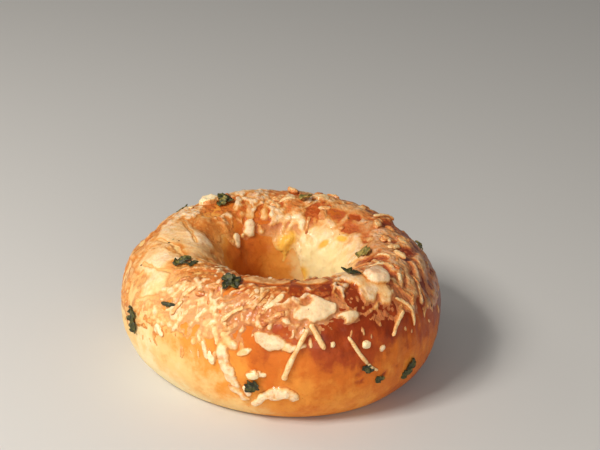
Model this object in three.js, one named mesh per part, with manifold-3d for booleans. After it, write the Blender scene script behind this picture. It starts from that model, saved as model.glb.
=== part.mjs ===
// A cheese and herb bagel, in millimetres with +Z up: a plump baked ring with a hole through it and a flat
// foot on z = 0. Its top is covered with grated cheese that has melted into lumps, strands and chunks, and
// with flakes of herb.
//
// Two angles, in degrees, name a place on the ring. "around" goes round the hole: 0 is the front, -Y, and 90
// is +X. "over" goes round the dough's own section: 0 is the outer side, 90 the crown, 180 the hole and 270
// the foot.

import * as THREE from "three";
import { mergeVertices } from "three/addons/utils/BufferGeometryUtils.js";
import Module from "manifold-3d";

// Driving dimensions of the ring
const outerDiameter = 112;
const holeDiameter = 37;
const crownHeight = 44;
const waistHeight = 18.5; // of the widest place above the foot
const footDepth = 21.5; // how far the section would go below the waist if the foot weren't flat
const footRounding = 1.2;
const ringCentre = [1.5, 0.5]; // puts the finished outline's middle on the Z axis

const ringRadius = (outerDiameter + holeDiameter) / 4;
const doughHalfWidth = (outerDiameter - holeDiameter) / 4;

// Slow unevenness of a hand-shaped ring, each wave as [waves in one turn, its cosine part, its sine part]
const outerWaves = [
  [1, -1.0, -0.3],
  [2, -1.8, 0.3],
  [3, 0.5, 1.0],
];
const crownWaves = [
  [1, -0.4, 0.0],
  [2, 1.3, 0.5],
];
const holeWaves = [
  [2, 0.7, -0.5],
  [3, -0.6, 0.5],
];

// Relief: soft swellings of the dough, and the melted cheese's lumps on the crown
const doughSwelling = { depth: 0.35, spacing: 26 };
const cheeseLump = { depth: 0.55, spacing: 11 };
const cheeseEdge = { outer: 22, inner: 168, blend: 22 }; // over, where the melted layer thins out

// How finely the ring is divided
const stepsAround = 48;
const stepsOver = 24;

// Form of the small toppings
const fatStrand = 2.5; // width from which a strand has six sides in place of four
const chunkUnevenness = 0.12; // of its half size
const flake = { rimPoints: 7, thickness: 0.7, slope: 0.14, waviness: 0.1, narrowness: 0.7, lobes: 0.25 };

const toRadians = Math.PI / 180;

// Park and Miller's generator, so that the scattered toppings are the same each time
let randomState = 2024;
function draw(low, high) {
  randomState = (randomState * 16807) % 2147483647;
  return low + ((high - low) * randomState) / 2147483647;
}

function wavesAt(waves, around) {
  return waves.reduce(
    (sum, [count, cosinePart, sinePart]) => {
      const angle = count * around * toRadians;
      return sum + cosinePart * Math.cos(angle) + sinePart * Math.sin(angle);
    },
    0,
  );
}

function smoothStep(low, high, x) {
  const t = Math.min(1, Math.max(0, (x - low) / (high - low)));
  return t * t * (3 - 2 * t);
}

// A lumpy field between about -1 and 1, with lumps "spacing" mm apart
function lumps(p, spacing) {
  const k = (2 * Math.PI) / spacing;
  return (
    (Math.sin(k * p.x + 1.3 * Math.sin(0.7 * k * p.y)) +
      Math.sin(k * p.y + 1.1 * Math.sin(0.6 * k * p.z + 2)) +
      Math.sin(1.1 * k * p.z + 1.2 * Math.sin(0.8 * k * p.x + 4))) /
    3
  );
}

// The foot: heights under 0 are pressed flat, with a rounded start
function flattenFoot(z) {
  if (z > footRounding) return z;
  if (z < -footRounding) return 0;
  return (z + footRounding) ** 2 / (4 * footRounding);
}

// A point of the plain ring, without its relief
function ringPoint(around, over) {
  const c = Math.cos(over * toRadians);
  const s = Math.sin(over * toRadians);
  const bulge = c > 0 ? wavesAt(outerWaves, around) : wavesAt(holeWaves, around);
  const radius = ringRadius + (doughHalfWidth + bulge) * c;
  const rise = crownHeight - waistHeight + wavesAt(crownWaves, around);
  const z = flattenFoot(waistHeight + (s > 0 ? rise : footDepth) * s);
  return new THREE.Vector3(
    ringCentre[0] + radius * Math.sin(around * toRadians),
    ringCentre[1] - radius * Math.cos(around * toRadians),
    z,
  );
}

// Point, outward normal and the ring's own direction at a place, and how far one degree goes either way
function placeOn(around, over) {
  const h = 0.5;
  const alongRing = ringPoint(around + h, over).sub(ringPoint(around - h, over));
  const overRing = ringPoint(around, over + h).sub(ringPoint(around, over - h));
  const normal = new THREE.Vector3().crossVectors(alongRing, overRing).normalize();
  return {
    point: ringPoint(around, over),
    normal,
    mmAround: alongRing.length(),
    mmOver: overRing.length(),
    alongRing: alongRing.normalize(),
  };
}

// How much melted cheese lies at a place, from 0 to 1
function cheeseCover(over) {
  const { outer, inner, blend } = cheeseEdge;
  const pastOuter = smoothStep(outer - blend, outer + blend, over);
  const pastInner = smoothStep(inner - blend, inner + blend, over);
  return pastOuter * (1 - pastInner);
}

function surfacePoint(around, over, lift = 0) {
  const { point, normal } = placeOn(around, over);
  const onFoot = 1 - smoothStep(0.5, 6, point.z);
  const relief =
    doughSwelling.depth * lumps(point, doughSwelling.spacing) * (1 - onFoot) +
    cheeseLump.depth * (1 + lumps(point, cheeseLump.spacing)) * cheeseCover(over);
  return point.addScaledVector(normal, relief + lift);
}

function geometryFrom(corners, triangles) {
  const geometry = new THREE.BufferGeometry();
  const positions = corners.flatMap((p) => [p.x, p.y, p.z]);
  geometry.setAttribute("position", new THREE.Float32BufferAttribute(positions, 3));
  geometry.setIndex(triangles.flat());
  return geometry;
}

// The dough: a closed grid over both angles
function doughRing() {
  const corners = [];
  const triangles = [];
  for (let i = 0; i < stepsAround; i++) {
    for (let j = 0; j < stepsOver; j++) {
      corners.push(surfacePoint((360 * i) / stepsAround, (360 * j) / stepsOver));
      const nextI = (i + 1) % stepsAround;
      const nextJ = (j + 1) % stepsOver;
      const a = i * stepsOver + j;
      const b = nextI * stepsOver + j;
      const c = nextI * stepsOver + nextJ;
      const d = i * stepsOver + nextJ;
      triangles.push([a, b, c], [a, c, d]);
    }
  }
  return geometryFrom(corners, triangles);
}

// A strand of cheese along a few places on the ring, sunk in by a third
function strand(places, width) {
  const path = new THREE.CatmullRomCurve3(
    places.map(([around, over]) => surfacePoint(around, over, width / 6)),
  );
  const sides = width < fatStrand ? 4 : 6;
  const section = new THREE.Shape(
    Array.from({ length: sides }, (_, k) => {
      const turn = (2 * Math.PI * k) / sides;
      return new THREE.Vector2((width / 2) * Math.cos(turn), (width / 2) * Math.sin(turn));
    }),
  );
  return new THREE.ExtrudeGeometry(section, { steps: 3, bevelEnabled: false, extrudePath: path });
}

// A chunk of cheese: a lumpy ball, flattened on to the surface and turned "heading" degrees from the ring's
// own direction
function chunk(around, over, [long, wide, tall], heading) {
  const { normal, alongRing } = placeOn(around, over);
  const across = new THREE.Vector3().crossVectors(normal, alongRing);
  const turn = heading * toRadians;
  const lengthways = alongRing.clone().multiplyScalar(Math.cos(turn)).addScaledVector(across, Math.sin(turn));
  const sideways = new THREE.Vector3().crossVectors(normal, lengthways);
  const ball = new THREE.IcosahedronGeometry(1, 1);
  const position = ball.getAttribute("position");
  for (let k = 0; k < position.count; k++) {
    const p = new THREE.Vector3().fromBufferAttribute(position, k);
    p.multiplyScalar(1 + chunkUnevenness * Math.sin(5 * p.x + around) * Math.cos(4 * p.y + over));
    position.setXYZ(k, p.x, p.y, p.z);
  }
  const middle = surfacePoint(around, over, tall / 12);
  const axes = new THREE.Matrix4().makeBasis(
    lengthways.multiplyScalar(long / 2),
    sideways.multiplyScalar(wide / 2),
    normal.clone().multiplyScalar(tall / 2),
  );
  return ball.applyMatrix4(axes.setPosition(middle));
}

// A flake of herb: a thin wavy leaf with both faces divided alike, raised at one end and caught at the other
function herbFlake(around, over, size, heading) {
  const { rimPoints, thickness, slope, waviness, narrowness, lobes } = flake;
  const { normal, alongRing } = placeOn(around, over);
  const across = new THREE.Vector3().crossVectors(normal, alongRing);
  const turn = heading * toRadians;
  const outward = alongRing.clone().multiplyScalar(Math.cos(turn)).addScaledVector(across, Math.sin(turn));
  const sideways = new THREE.Vector3().crossVectors(normal, outward);
  const middle = surfacePoint(around, over);
  const at = (x, y, z) =>
    middle.clone().addScaledVector(outward, x).addScaledVector(sideways, y).addScaledVector(normal, z);
  const corners = [at(0, 0, thickness), at(0, 0, 0)];
  for (let k = 0; k < rimPoints; k++) {
    const angle = (2 * Math.PI * k) / rimPoints;
    const reach = (size / 2) * (1 + lobes * Math.sin(3 * angle + around));
    const x = reach * Math.cos(angle);
    const y = narrowness * reach * Math.sin(angle);
    const z = waviness * size * ((k % 2) - 0.4) + slope * x;
    corners.push(at(x, y, z + thickness), at(x, y, z));
  }
  const triangles = [];
  for (let k = 0; k < rimPoints; k++) {
    const top = 2 + 2 * k;
    const nextTop = 2 + 2 * ((k + 1) % rimPoints);
    triangles.push([0, top, nextTop], [1, nextTop + 1, top + 1]);
    triangles.push([top, top + 1, nextTop + 1], [top, nextTop + 1, nextTop]);
  }
  return geometryFrom(corners, triangles);
}

// The strands that stand out, as places [around, over] along each, and its width
const namedStrands = [
  { width: 2.1, places: [[9, 42], [6, 30], [3, 16], [1, 2]] },
  { width: 2.0, places: [[10, 46], [12, 38], [15, 26]] },
  { width: 3.6, places: [[-22, 24], [-20, 14], [-17, 2]] },
  { width: 3.0, places: [[-17, 2], [-15, -9], [-13, -20]] },
  { width: 3.8, places: [[-10, -28], [-6, -14], [-2, -9]] },
  { width: 3.8, places: [[-3, -9], [0, -9], [4, -16]] },
  { width: 3.8, places: [[-9, 33], [-3, 28], [4, 25]] },
  { width: 1.4, places: [[24, 34], [27, 22], [31, 10]] },
  { width: 1.5, places: [[50, 42], [46, 36], [42, 26]] },
  { width: 1.4, places: [[49, 54], [54, 42], [54, 26]] },
  { width: 3.0, places: [[22, 58], [22, 50], [22, 41]] },
  { width: 1.9, places: [[126, 86], [126, 74], [125, 62]] },
  { width: 2.2, places: [[166, 136], [158, 154], [151, 172]] },
  { width: 2.0, places: [[176, 130], [181, 142], [186, 154]] },
];

// Chunks: place, [length, width, height] and heading
const namedChunks = [
  { around: 52, over: 86, size: [10, 7.5, 6], heading: 60 },
  { around: -135, over: 78, size: [9, 6.5, 5.5], heading: 40 },
  { around: -146, over: 132, size: [6.5, 5, 5], heading: 80 },
  { around: -128, over: 140, size: [4.5, 3.5, 3], heading: 70 },
  { around: 36, over: 57, size: [8.5, 7, 3.4], heading: 10 },
  { around: 46, over: 58, size: [7.5, 3.6, 3.4], heading: 70 },
  { around: -10, over: 4, size: [4.6, 3.4, 2.4], heading: 0 },
  { around: 31, over: 25, size: [3.6, 3.2, 2.8], heading: 20 },
  { around: -26, over: 10, size: [5, 2.8, 1.8], heading: 75 },
  { around: -50, over: 17, size: [5, 2.8, 1.8], heading: 100 },
];

// Herb flakes: place, size and the direction of the raised edge
const namedHerbs = [
  { around: -142, over: 88, size: 8, heading: 150 },
  { around: 170, over: 100, size: 6, heading: -60 },
  { around: -62, over: 81, size: 6.5, heading: 20 },
  { around: -28, over: 87, size: 7, heading: 200 },
  { around: -48, over: 40, size: 6.5, heading: 150 },
  { around: -66, over: 6, size: 7.5, heading: 80 },
  { around: 92, over: 122, size: 6.5, heading: 90 },
  { around: 38, over: 94, size: 6.5, heading: 180 },
  { around: 52, over: -8, size: 6.5, heading: 110 },
  { around: 31, over: 6, size: 5, heading: 0 },
  { around: -10, over: -7, size: 6, heading: 30 },
];

// Scattered toppings: how many, and the ranges that their places and sizes are drawn from
const scatter = {
  strands: { count: 46, over: [24, 158], length: [6, 12], width: [1.6, 2.3] },
  sideStrands: { count: 10, over: [12, 30], length: [4, 8], width: [1.5, 2.0] },
  chunks: { count: 12, over: [40, 150], long: [4.5, 8], flat: [0.6, 0.8], tall: [2.8, 4] },
  herbs: { count: 12, over: [20, 140], size: [4.5, 7], around: [100, 300] },
};
const turnOfSpread = 137.508; // the golden angle, which spreads any number of pieces evenly round the ring

function scatteredStrands({ count, over, length, width }) {
  return Array.from({ length: count }, (_, k) => {
    const around = k * turnOfSpread + draw(-6, 6);
    const middle = draw(...over);
    const half = draw(...length) / 2;
    const heading = draw(0, 180) * toRadians;
    const thickness = draw(...width);
    const { mmAround, mmOver } = placeOn(around, middle);
    const places = [-1, 0, 1].map((end) => [
      around + (end * half * Math.cos(heading)) / mmAround,
      middle + (end * half * Math.sin(heading)) / mmOver,
    ]);
    return strand(places, thickness);
  });
}

function scatteredChunks({ count, over, long, flat, tall }) {
  return Array.from({ length: count }, (_, k) => {
    const size = draw(...long);
    return chunk(
      (k + 0.5) * turnOfSpread,
      draw(...over),
      [size, size * draw(...flat), draw(...tall)],
      draw(0, 180),
    );
  });
}

function scatteredHerbs({ count, over, size, around: [from, to] }) {
  return Array.from({ length: count }, (_, k) => {
    const around = from + (k * (to - from)) / count + draw(-7, 7);
    return herbFlake(around, draw(...over), draw(...size), draw(0, 360));
  });
}

const wasm = await Module();
wasm.setup();

function solidOf(geometry) {
  geometry.deleteAttribute("normal");
  geometry.deleteAttribute("uv");
  const merged = mergeVertices(geometry, 1e-4);
  return new wasm.Manifold(
    new wasm.Mesh({
      numProp: 3,
      vertProperties: new Float32Array(merged.getAttribute("position").array),
      triVerts: new Uint32Array(merged.index.array),
    }),
  );
}

// Fuses the dough and its toppings, and keeps the one body: loose scraps and sealed pockets are left behind
function fuse(geometries) {
  const whole = wasm.Manifold.union(geometries.map(solidOf));
  const bodies = whole.decompose();
  const bagel = bodies.reduce((largest, body) => (body.volume() > largest.volume() ? body : largest));
  const { numProp, numVert, vertProperties, triVerts } = bagel.getMesh();
  const positions = new Float32Array(numVert * 3);
  for (let k = 0; k < numVert; k++) {
    positions.set(vertProperties.subarray(k * numProp, k * numProp + 3), k * 3);
  }
  const geometry = new THREE.BufferGeometry();
  geometry.setAttribute("position", new THREE.BufferAttribute(positions, 3));
  geometry.setIndex(new THREE.BufferAttribute(triVerts, 1));
  geometry.computeVertexNormals();
  return geometry;
}

const toppings = [
  ...namedStrands.map(({ places, width }) => strand(places, width)),
  ...namedChunks.map(({ around, over, size, heading }) => chunk(around, over, size, heading)),
  ...namedHerbs.map(({ around, over, size, heading }) => herbFlake(around, over, size, heading)),
  ...scatteredStrands(scatter.strands),
  ...scatteredStrands(scatter.sideStrands),
  ...scatteredChunks(scatter.chunks),
  ...scatteredHerbs(scatter.herbs),
];

const bakedCheese = new THREE.MeshStandardMaterial({ color: 0xd9924a, roughness: 0.5, metalness: 0 });
const bagel = new THREE.Mesh(fuse([doughRing(), ...toppings]), bakedCheese);
bagel.name = "bagel";

const part = new THREE.Group();
part.add(bagel);

export default part;
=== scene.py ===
# A cheese and herb bagel: glossy golden dough, melted and grated cheese, flakes of herb.
import math
import random

import bpy
import numpy as np
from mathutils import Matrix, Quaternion, Vector


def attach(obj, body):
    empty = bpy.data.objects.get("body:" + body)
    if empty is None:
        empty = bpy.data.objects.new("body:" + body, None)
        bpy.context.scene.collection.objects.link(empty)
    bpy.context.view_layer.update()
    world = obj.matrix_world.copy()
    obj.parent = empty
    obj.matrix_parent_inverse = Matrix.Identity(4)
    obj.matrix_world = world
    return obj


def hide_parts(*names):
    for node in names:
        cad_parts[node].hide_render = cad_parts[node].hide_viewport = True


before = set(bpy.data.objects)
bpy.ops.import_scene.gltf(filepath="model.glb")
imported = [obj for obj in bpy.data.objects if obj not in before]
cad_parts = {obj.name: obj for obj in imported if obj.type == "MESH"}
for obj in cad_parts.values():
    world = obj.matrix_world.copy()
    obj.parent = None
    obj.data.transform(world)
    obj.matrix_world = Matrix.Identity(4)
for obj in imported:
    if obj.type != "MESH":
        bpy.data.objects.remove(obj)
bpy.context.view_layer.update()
scene = bpy.context.scene
mm = 0.001               # everything below is worked out in millimetres and becomes metres in the meshes
goldenAngle = 137.508    # degrees from one scattered thing to the next round the ring, so that none line up

# The ring. "around" goes round the hole, 0 at the front and 90 at the right. "over" goes round the dough's
# section, 0 at the outer side, 90 at the crown, 180 in the hole and 270 under the foot. Both are in degrees.
ring = {
    "outerDiameter": 112.0,
    "holeDiameter": 37.0,
    "crownHeight": 44.0,
    "waistHeight": 18.5,
    "footDepth": 21.5,
    "footRounding": 1.2,
    "centre": (1.5, 0.5),
    "outerWaves": [(1, -1.0, -0.3), (2, -1.8, 0.3), (3, 0.5, 1.0)],
    "crownWaves": [(1, -0.4, 0.0), (2, 1.3, 0.5)],
    "holeWaves": [(2, 0.7, -0.5), (3, -0.6, 0.5)],
}


def wavesAt(waves, around):
    angle = np.radians(around)
    return sum(c * np.cos(n * angle) + s * np.sin(n * angle) for n, c, s in waves)


def smoothStep(low, high, x):
    t = np.clip((x - low) / (high - low), 0, 1)
    return t * t * (3 - 2 * t)


def ringPoint(around, over):
    around, over = np.broadcast_arrays(np.asarray(around, float), np.asarray(over, float))
    c, s = np.cos(np.radians(over)), np.sin(np.radians(over))
    bulge = np.where(c > 0, wavesAt(ring["outerWaves"], around), wavesAt(ring["holeWaves"], around))
    ringRadius = (ring["outerDiameter"] + ring["holeDiameter"]) / 4
    halfWidth = (ring["outerDiameter"] - ring["holeDiameter"]) / 4
    radius = ringRadius + (halfWidth + bulge) * c
    rise = ring["crownHeight"] - ring["waistHeight"] + wavesAt(ring["crownWaves"], around)
    z = ring["waistHeight"] + np.where(s > 0, rise, ring["footDepth"]) * s
    r = ring["footRounding"]
    z = np.where(z > r, z, np.where(z < -r, 0, (z + r) ** 2 / (4 * r)))
    angle = np.radians(around)
    return np.stack([ring["centre"][0] + radius * np.sin(angle),
                     ring["centre"][1] - radius * np.cos(angle), z], axis=-1)


def ringFrame(around, over):
    # outward normal, and the directions in which around and over grow
    h = 0.5
    alongRing = ringPoint(around + h, over) - ringPoint(around - h, over)
    overRing = ringPoint(around, over + h) - ringPoint(around, over - h)
    normal = np.cross(alongRing, overRing)
    mmAround = np.linalg.norm(alongRing, axis=-1)
    mmOver = np.linalg.norm(overRing, axis=-1)
    normal /= np.linalg.norm(normal, axis=-1, keepdims=True)
    return normal, alongRing / mmAround[..., None], overRing / mmOver[..., None], mmAround, mmOver


def spreadRound(k, shift=0):
    # where round the ring the k-th of many scattered things goes
    return (k * goldenAngle + shift) % 360 - 180


def hashOf(cell):
    h = (cell[..., 0] * 73856093) ^ (cell[..., 1] * 19349663) ^ (cell[..., 2] * 83492791)
    h = ((h ^ (h >> 13)) * 1274126177) & 0x7FFFFFFF
    return h ^ (h >> 15)


def noiseAt(points, spacing, seed):
    # smooth noise from -1 to 1 with bumps "spacing" mm apart
    p = points / spacing + np.array([3.1, 7.7, 5.3]) * (seed + 1)
    cell = np.floor(p).astype(np.int64)
    f = p - cell
    f = f * f * f * (f * (f * 6 - 15) + 10)
    total = np.zeros(p.shape[:-1])
    for corner in np.ndindex(2, 2, 2):
        value = (hashOf(cell + np.array(corner)) & 0xFFFF) / 32767.5 - 1
        weight = np.ones(p.shape[:-1])
        for i in range(3):
            weight *= f[..., i] if corner[i] else 1 - f[..., i]
        total += value * weight
    return total


def grainsAt(points, spacing, seed):
    # round grains about "spacing" mm apart: 1 on top of each, 0 between them
    p = points / spacing + np.array([5.9, 2.3, 8.1]) * (seed + 1)
    cell = np.floor(p).astype(np.int64)
    nearest = np.full(p.shape[:-1], 9.0)
    for step in np.ndindex(3, 3, 3):
        home = cell + np.array(step) - 1
        h = hashOf(home)
        centre = home + np.stack([(h >> shift & 0x3FF) / 1023 for shift in (0, 10, 20)], axis=-1)
        nearest = np.minimum(nearest, np.sum((p - centre) ** 2, axis=-1))
    return np.clip(1 - nearest / 0.55, 0, 1)


def lumps(p, spacing):
    # the same soft swellings as the frame's solid has
    k = 2 * math.pi / spacing
    x, y, z = p[..., 0], p[..., 1], p[..., 2]
    return (np.sin(k * x + 1.3 * np.sin(0.7 * k * y)) + np.sin(k * y + 1.1 * np.sin(0.6 * k * z + 2))
            + np.sin(1.1 * k * z + 1.2 * np.sin(0.8 * k * x + 4))) / 3


def byAngle(stops, around):
    # a value given at a few places round the ring, with smooth steps between them
    angles, values = zip(*sorted(stops))
    angles = np.array([angles[-1] - 360, *angles, angles[0] + 360])
    values = np.array([values[-1], *values, values[0]])
    around = (np.asarray(around) + 180) % 360 - 180
    i = np.clip(np.searchsorted(angles, around, side="right") - 1, 0, len(angles) - 2)
    t = smoothStep(0, 1, (around - angles[i]) / (angles[i + 1] - angles[i]))
    return values[i] * (1 - t) + values[i + 1] * t


def newMesh(name, points, faces, attributes=None):
    # points in mm; attributes hold one number for each point
    mesh = bpy.data.meshes.new(name)
    mesh.from_pydata((np.asarray(points) * mm).tolist(), [], np.asarray(faces).tolist())
    for key, values in (attributes or {}).items():
        layer = mesh.attributes.new(key, "FLOAT", "POINT")
        layer.data.foreach_set("value", np.ravel(values).astype(np.float32))
    mesh.polygons.foreach_set("use_smooth", np.ones(len(mesh.polygons), bool))
    mesh.update()
    piece = bpy.data.objects.new(name, mesh)
    scene.collection.objects.link(piece)
    return piece


def addNode(tree, kind, inputs=None, **settings):
    node = tree.nodes.new(kind)
    for key, value in settings.items():
        setattr(node, key, value)
    for key, value in (inputs or {}).items():
        if isinstance(value, bpy.types.NodeSocket):
            tree.links.new(value, node.inputs[key])
        else:
            node.inputs[key].default_value = value
    return node


def gridOf(around, over):
    return np.meshgrid(around, over, indexing="ij")


def gridFaces(nAround, nOver):
    # quads between the points of a grid that closes on itself both ways
    i, j = np.meshgrid(np.arange(nAround), np.arange(nOver), indexing="ij")
    nextI, nextJ = (i + 1) % nAround, (j + 1) % nOver
    corners = [i * nOver + j, nextI * nOver + j, nextI * nOver + nextJ, i * nOver + nextJ]
    return np.stack([c.ravel() for c in corners], axis=1)


def distanceToPath(points, path):
    # nearest distance from each point to a path of straight pieces
    best = np.full(points.shape[:-1], 1e9)
    for a, b in zip(path[:-1], path[1:]):
        ab = b - a
        t = np.clip(((points - a) @ ab) / max(float(ab @ ab), 1e-9), 0, 1)
        best = np.minimum(best, np.linalg.norm(points - a - t[..., None] * ab, axis=-1))
    return best


# The dough: where its skin is baked darkest, and the few flaws that show
dough = {
    "stepsAround": 430,
    "stepsOver": 220,
    "swelling": (0.35, 26),          # depth and spacing
    "skin": (0.14, 5.5),
    "blister": (0.07, 1.5),
    "wrinkleDepth": 0.16,
    "wrinkles": [(-120, 0.3), (-60, 0.1), (0, 0.35), (60, 1.0), (110, 0.8), (170, 0.4)],
    # (around, amount): how far the low side and the shoulder are baked; what the hole adds, with painted
    # shade on its left wall; and what the foot adds, painted light low at the front and left and painted
    # shade low on the right
    "bakeBelow": [(-180, 0.4), (-110, 0.14), (-60, 0.02), (-30, 0.18), (-5, 0.4), (20, 0.5), (45, 0.44),
                  (75, 0.56), (100, 0.85), (150, 0.5)],
    "bakeAbove": [(-150, 0.6), (-115, 0.28), (-85, 0.12), (-60, 0.18), (-38, 0.38), (-20, 0.55), (0, 0.8),
                  (25, 0.94), (55, 0.9), (90, 1.0), (140, 0.7), (180, 0.64)],
    "holeBakeAndShade": [(-120, 0.3), (-60, 0.2), (0, 0.0), (60, -0.1), (110, -0.3), (158, -0.42), (-170, -0.14)],
    "footLightAndShade": [(-150, 0.0), (-60, -0.12), (30, -0.12), (56, 0.2), (90, 0.45), (120, 0.3)],
    # (around, over) along each, and its depth
    "cracks": [((24, -7), (33, -5), (46, 1), 0.3), ((27, 2), (35, -2), (41, -3), 0.25)],
}


def doughBase(around, over):
    # the skin's own surface, under the cheese
    plain = ringPoint(around, over)
    normal = ringFrame(around, over)[0]
    offFoot = smoothStep(0.5, 6, plain[..., 2])
    depth, spacing = dough["swelling"]
    relief = depth * lumps(plain, spacing) * offFoot
    depth, spacing = melted["lump"]
    cover = smoothStep(0, 44, over) * (1 - smoothStep(146, 190, over))
    relief = relief + depth * (1 + lumps(plain, spacing)) * cover
    return plain + normal * relief[..., None], normal


def bakeAt(surface, around, over):
    # how far the skin is baked, from 0, pale, to 1, red-brown, with painted shade and painted light added in
    # the hole and low by the foot
    shoulder = smoothStep(-8, 46, over + 6 * noiseAt(surface, 9, 7)) * (1 - 0.4 * smoothStep(120, 170, over))
    below, above = byAngle(dough["bakeBelow"], around), byAngle(dough["bakeAbove"], around)
    bakeAndShade = below + (above - below) * shoulder
    bakeAndShade += 0.08 * noiseAt(surface, 14, 5) + 0.05 * noiseAt(surface, 4, 6)
    # painted shade darkens the hole's left wall; its right wall is paler
    bakeAndShade += byAngle(dough["holeBakeAndShade"], around) * smoothStep(116, 150, over)
    # painted light low at the front and left, painted shade low on the right, near the foot
    return bakeAndShade + byAngle(dough["footLightAndShade"], around) * smoothStep(-8, -45, over)


def makeDough():
    around = np.arange(dough["stepsAround"]) * 360 / dough["stepsAround"]
    over = np.arange(dough["stepsOver"]) * 360 / dough["stepsOver"] - 90
    a, o = gridOf(around, over)
    surface, normal = doughBase(a, o)
    offFoot = smoothStep(0.5, 5, surface[..., 2])
    skinDepth, skinSpacing = dough["skin"]
    blisterDepth, blisterSpacing = dough["blister"]
    relief = skinDepth * noiseAt(surface, skinSpacing, 1) + blisterDepth * noiseAt(surface, blisterSpacing, 2)
    # fine wrinkles that run up the side, strongest at the right
    streaks = np.stack([52 * np.cos(np.radians(a)), 52 * np.sin(np.radians(a)), o * 0.12], axis=-1)
    strength = byAngle(dough["wrinkles"], a)
    upSide = smoothStep(-30, 5, o) * (1 - smoothStep(50, 75, o))
    relief += dough["wrinkleDepth"] * strength * upSide * noiseAt(streaks, 1.4, 3)
    crackDark = np.zeros_like(a)
    for *places, depth in dough["cracks"]:
        path = np.array([ringPoint(u, v) for u, v in places])
        away = distanceToPath(surface, path) + 1.1 * noiseAt(surface, 2.0, 4)
        broken = smoothStep(-0.3, 0.3, noiseAt(surface, 3.5, 9))
        groove, lip = np.exp(-(away / 0.55) ** 2), np.exp(-((away - 1.3) / 0.7) ** 2)
        relief -= broken * (depth * groove - 0.4 * depth * lip)
        crackDark += 0.6 * broken * np.exp(-(away / 0.8) ** 2)
    surface = surface + normal * (relief * offFoot)[..., None]
    surface[..., 2] = np.maximum(surface[..., 2], 0)
    bakeAndShade = bakeAt(surface, a, o)
    underneath = smoothStep(48, 66, np.abs((o + 270) % 360 - 180))
    bakeAndShade += 0.45 * (1 - offFoot) * underneath + 0.3 * np.clip(crackDark, 0, 1)
    bakeAndShade += 0.09 * strength * upSide * noiseAt(streaks, 1.2, 8)
    faces = gridFaces(dough["stepsAround"], dough["stepsOver"])
    piece = newMesh("dough_crust", surface.reshape(-1, 3), faces, {"bakeAndShade": bakeAndShade})
    piece.data.materials.append(doughMaterial())
    return piece


def patchMask(points, around, over, long, wide, turn, roughness, seed):
    # 1 inside an uneven oval on the surface, falling to 0 at its edge, then below 0
    centre = ringPoint(around, over)
    normal, alongRing, overRing, *_ = ringFrame(around, over)
    angle = math.radians(turn)
    lengthways = alongRing * math.cos(angle) + overRing * math.sin(angle)
    sideways = np.cross(normal, lengthways)
    offset = points - centre
    x = offset @ lengthways / (long / 2)
    y = offset @ sideways / (wide / 2)
    z = offset @ normal / 12
    wobble = roughness * (noiseAt(points, 5, seed) + 0.5 * noiseAt(points, 2.2, seed + 1))
    return 1 - np.sqrt(x * x + y * y + z * z) + wobble


def windowOf(around, over, axisAround, axisOver, margin):
    # the rows and columns of a grid that lie near some places on the ring
    mmAround, mmOver = ringFrame(np.mean(around), np.mean(over))[3:]
    low, high = min(around) - margin / mmAround, max(around) + margin / mmAround
    middle = (low + high) / 2
    gap = (axisAround - middle + 180) % 360 - 180
    columns = np.where(np.abs(gap) <= (high - low) / 2)[0]
    rows = np.where((axisOver >= min(over) - margin / mmOver) & (axisOver <= max(over) + margin / mmOver))[0]
    return np.ix_(columns, rows)


def drawTurn(dice, rule):
    # most shreds lie about one way, the others anyhow
    return dice.gauss(*rule["turn"]) if dice.random() < rule["aligned"] else dice.uniform(0, 180)


def shredPlaces(around, over, length, turn, bend, t):
    # a slightly bent line on the surface, as angles; t runs from -0.5 to 0.5 along it
    mmAround, mmOver = ringFrame(around, over)[3:]
    x = length * t
    y = bend * (1 - 4 * t * t)
    angle = math.radians(turn)
    return (around + (x * math.cos(angle) - y * math.sin(angle)) / mmAround,
            over + (x * math.sin(angle) + y * math.cos(angle)) / mmOver)


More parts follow.
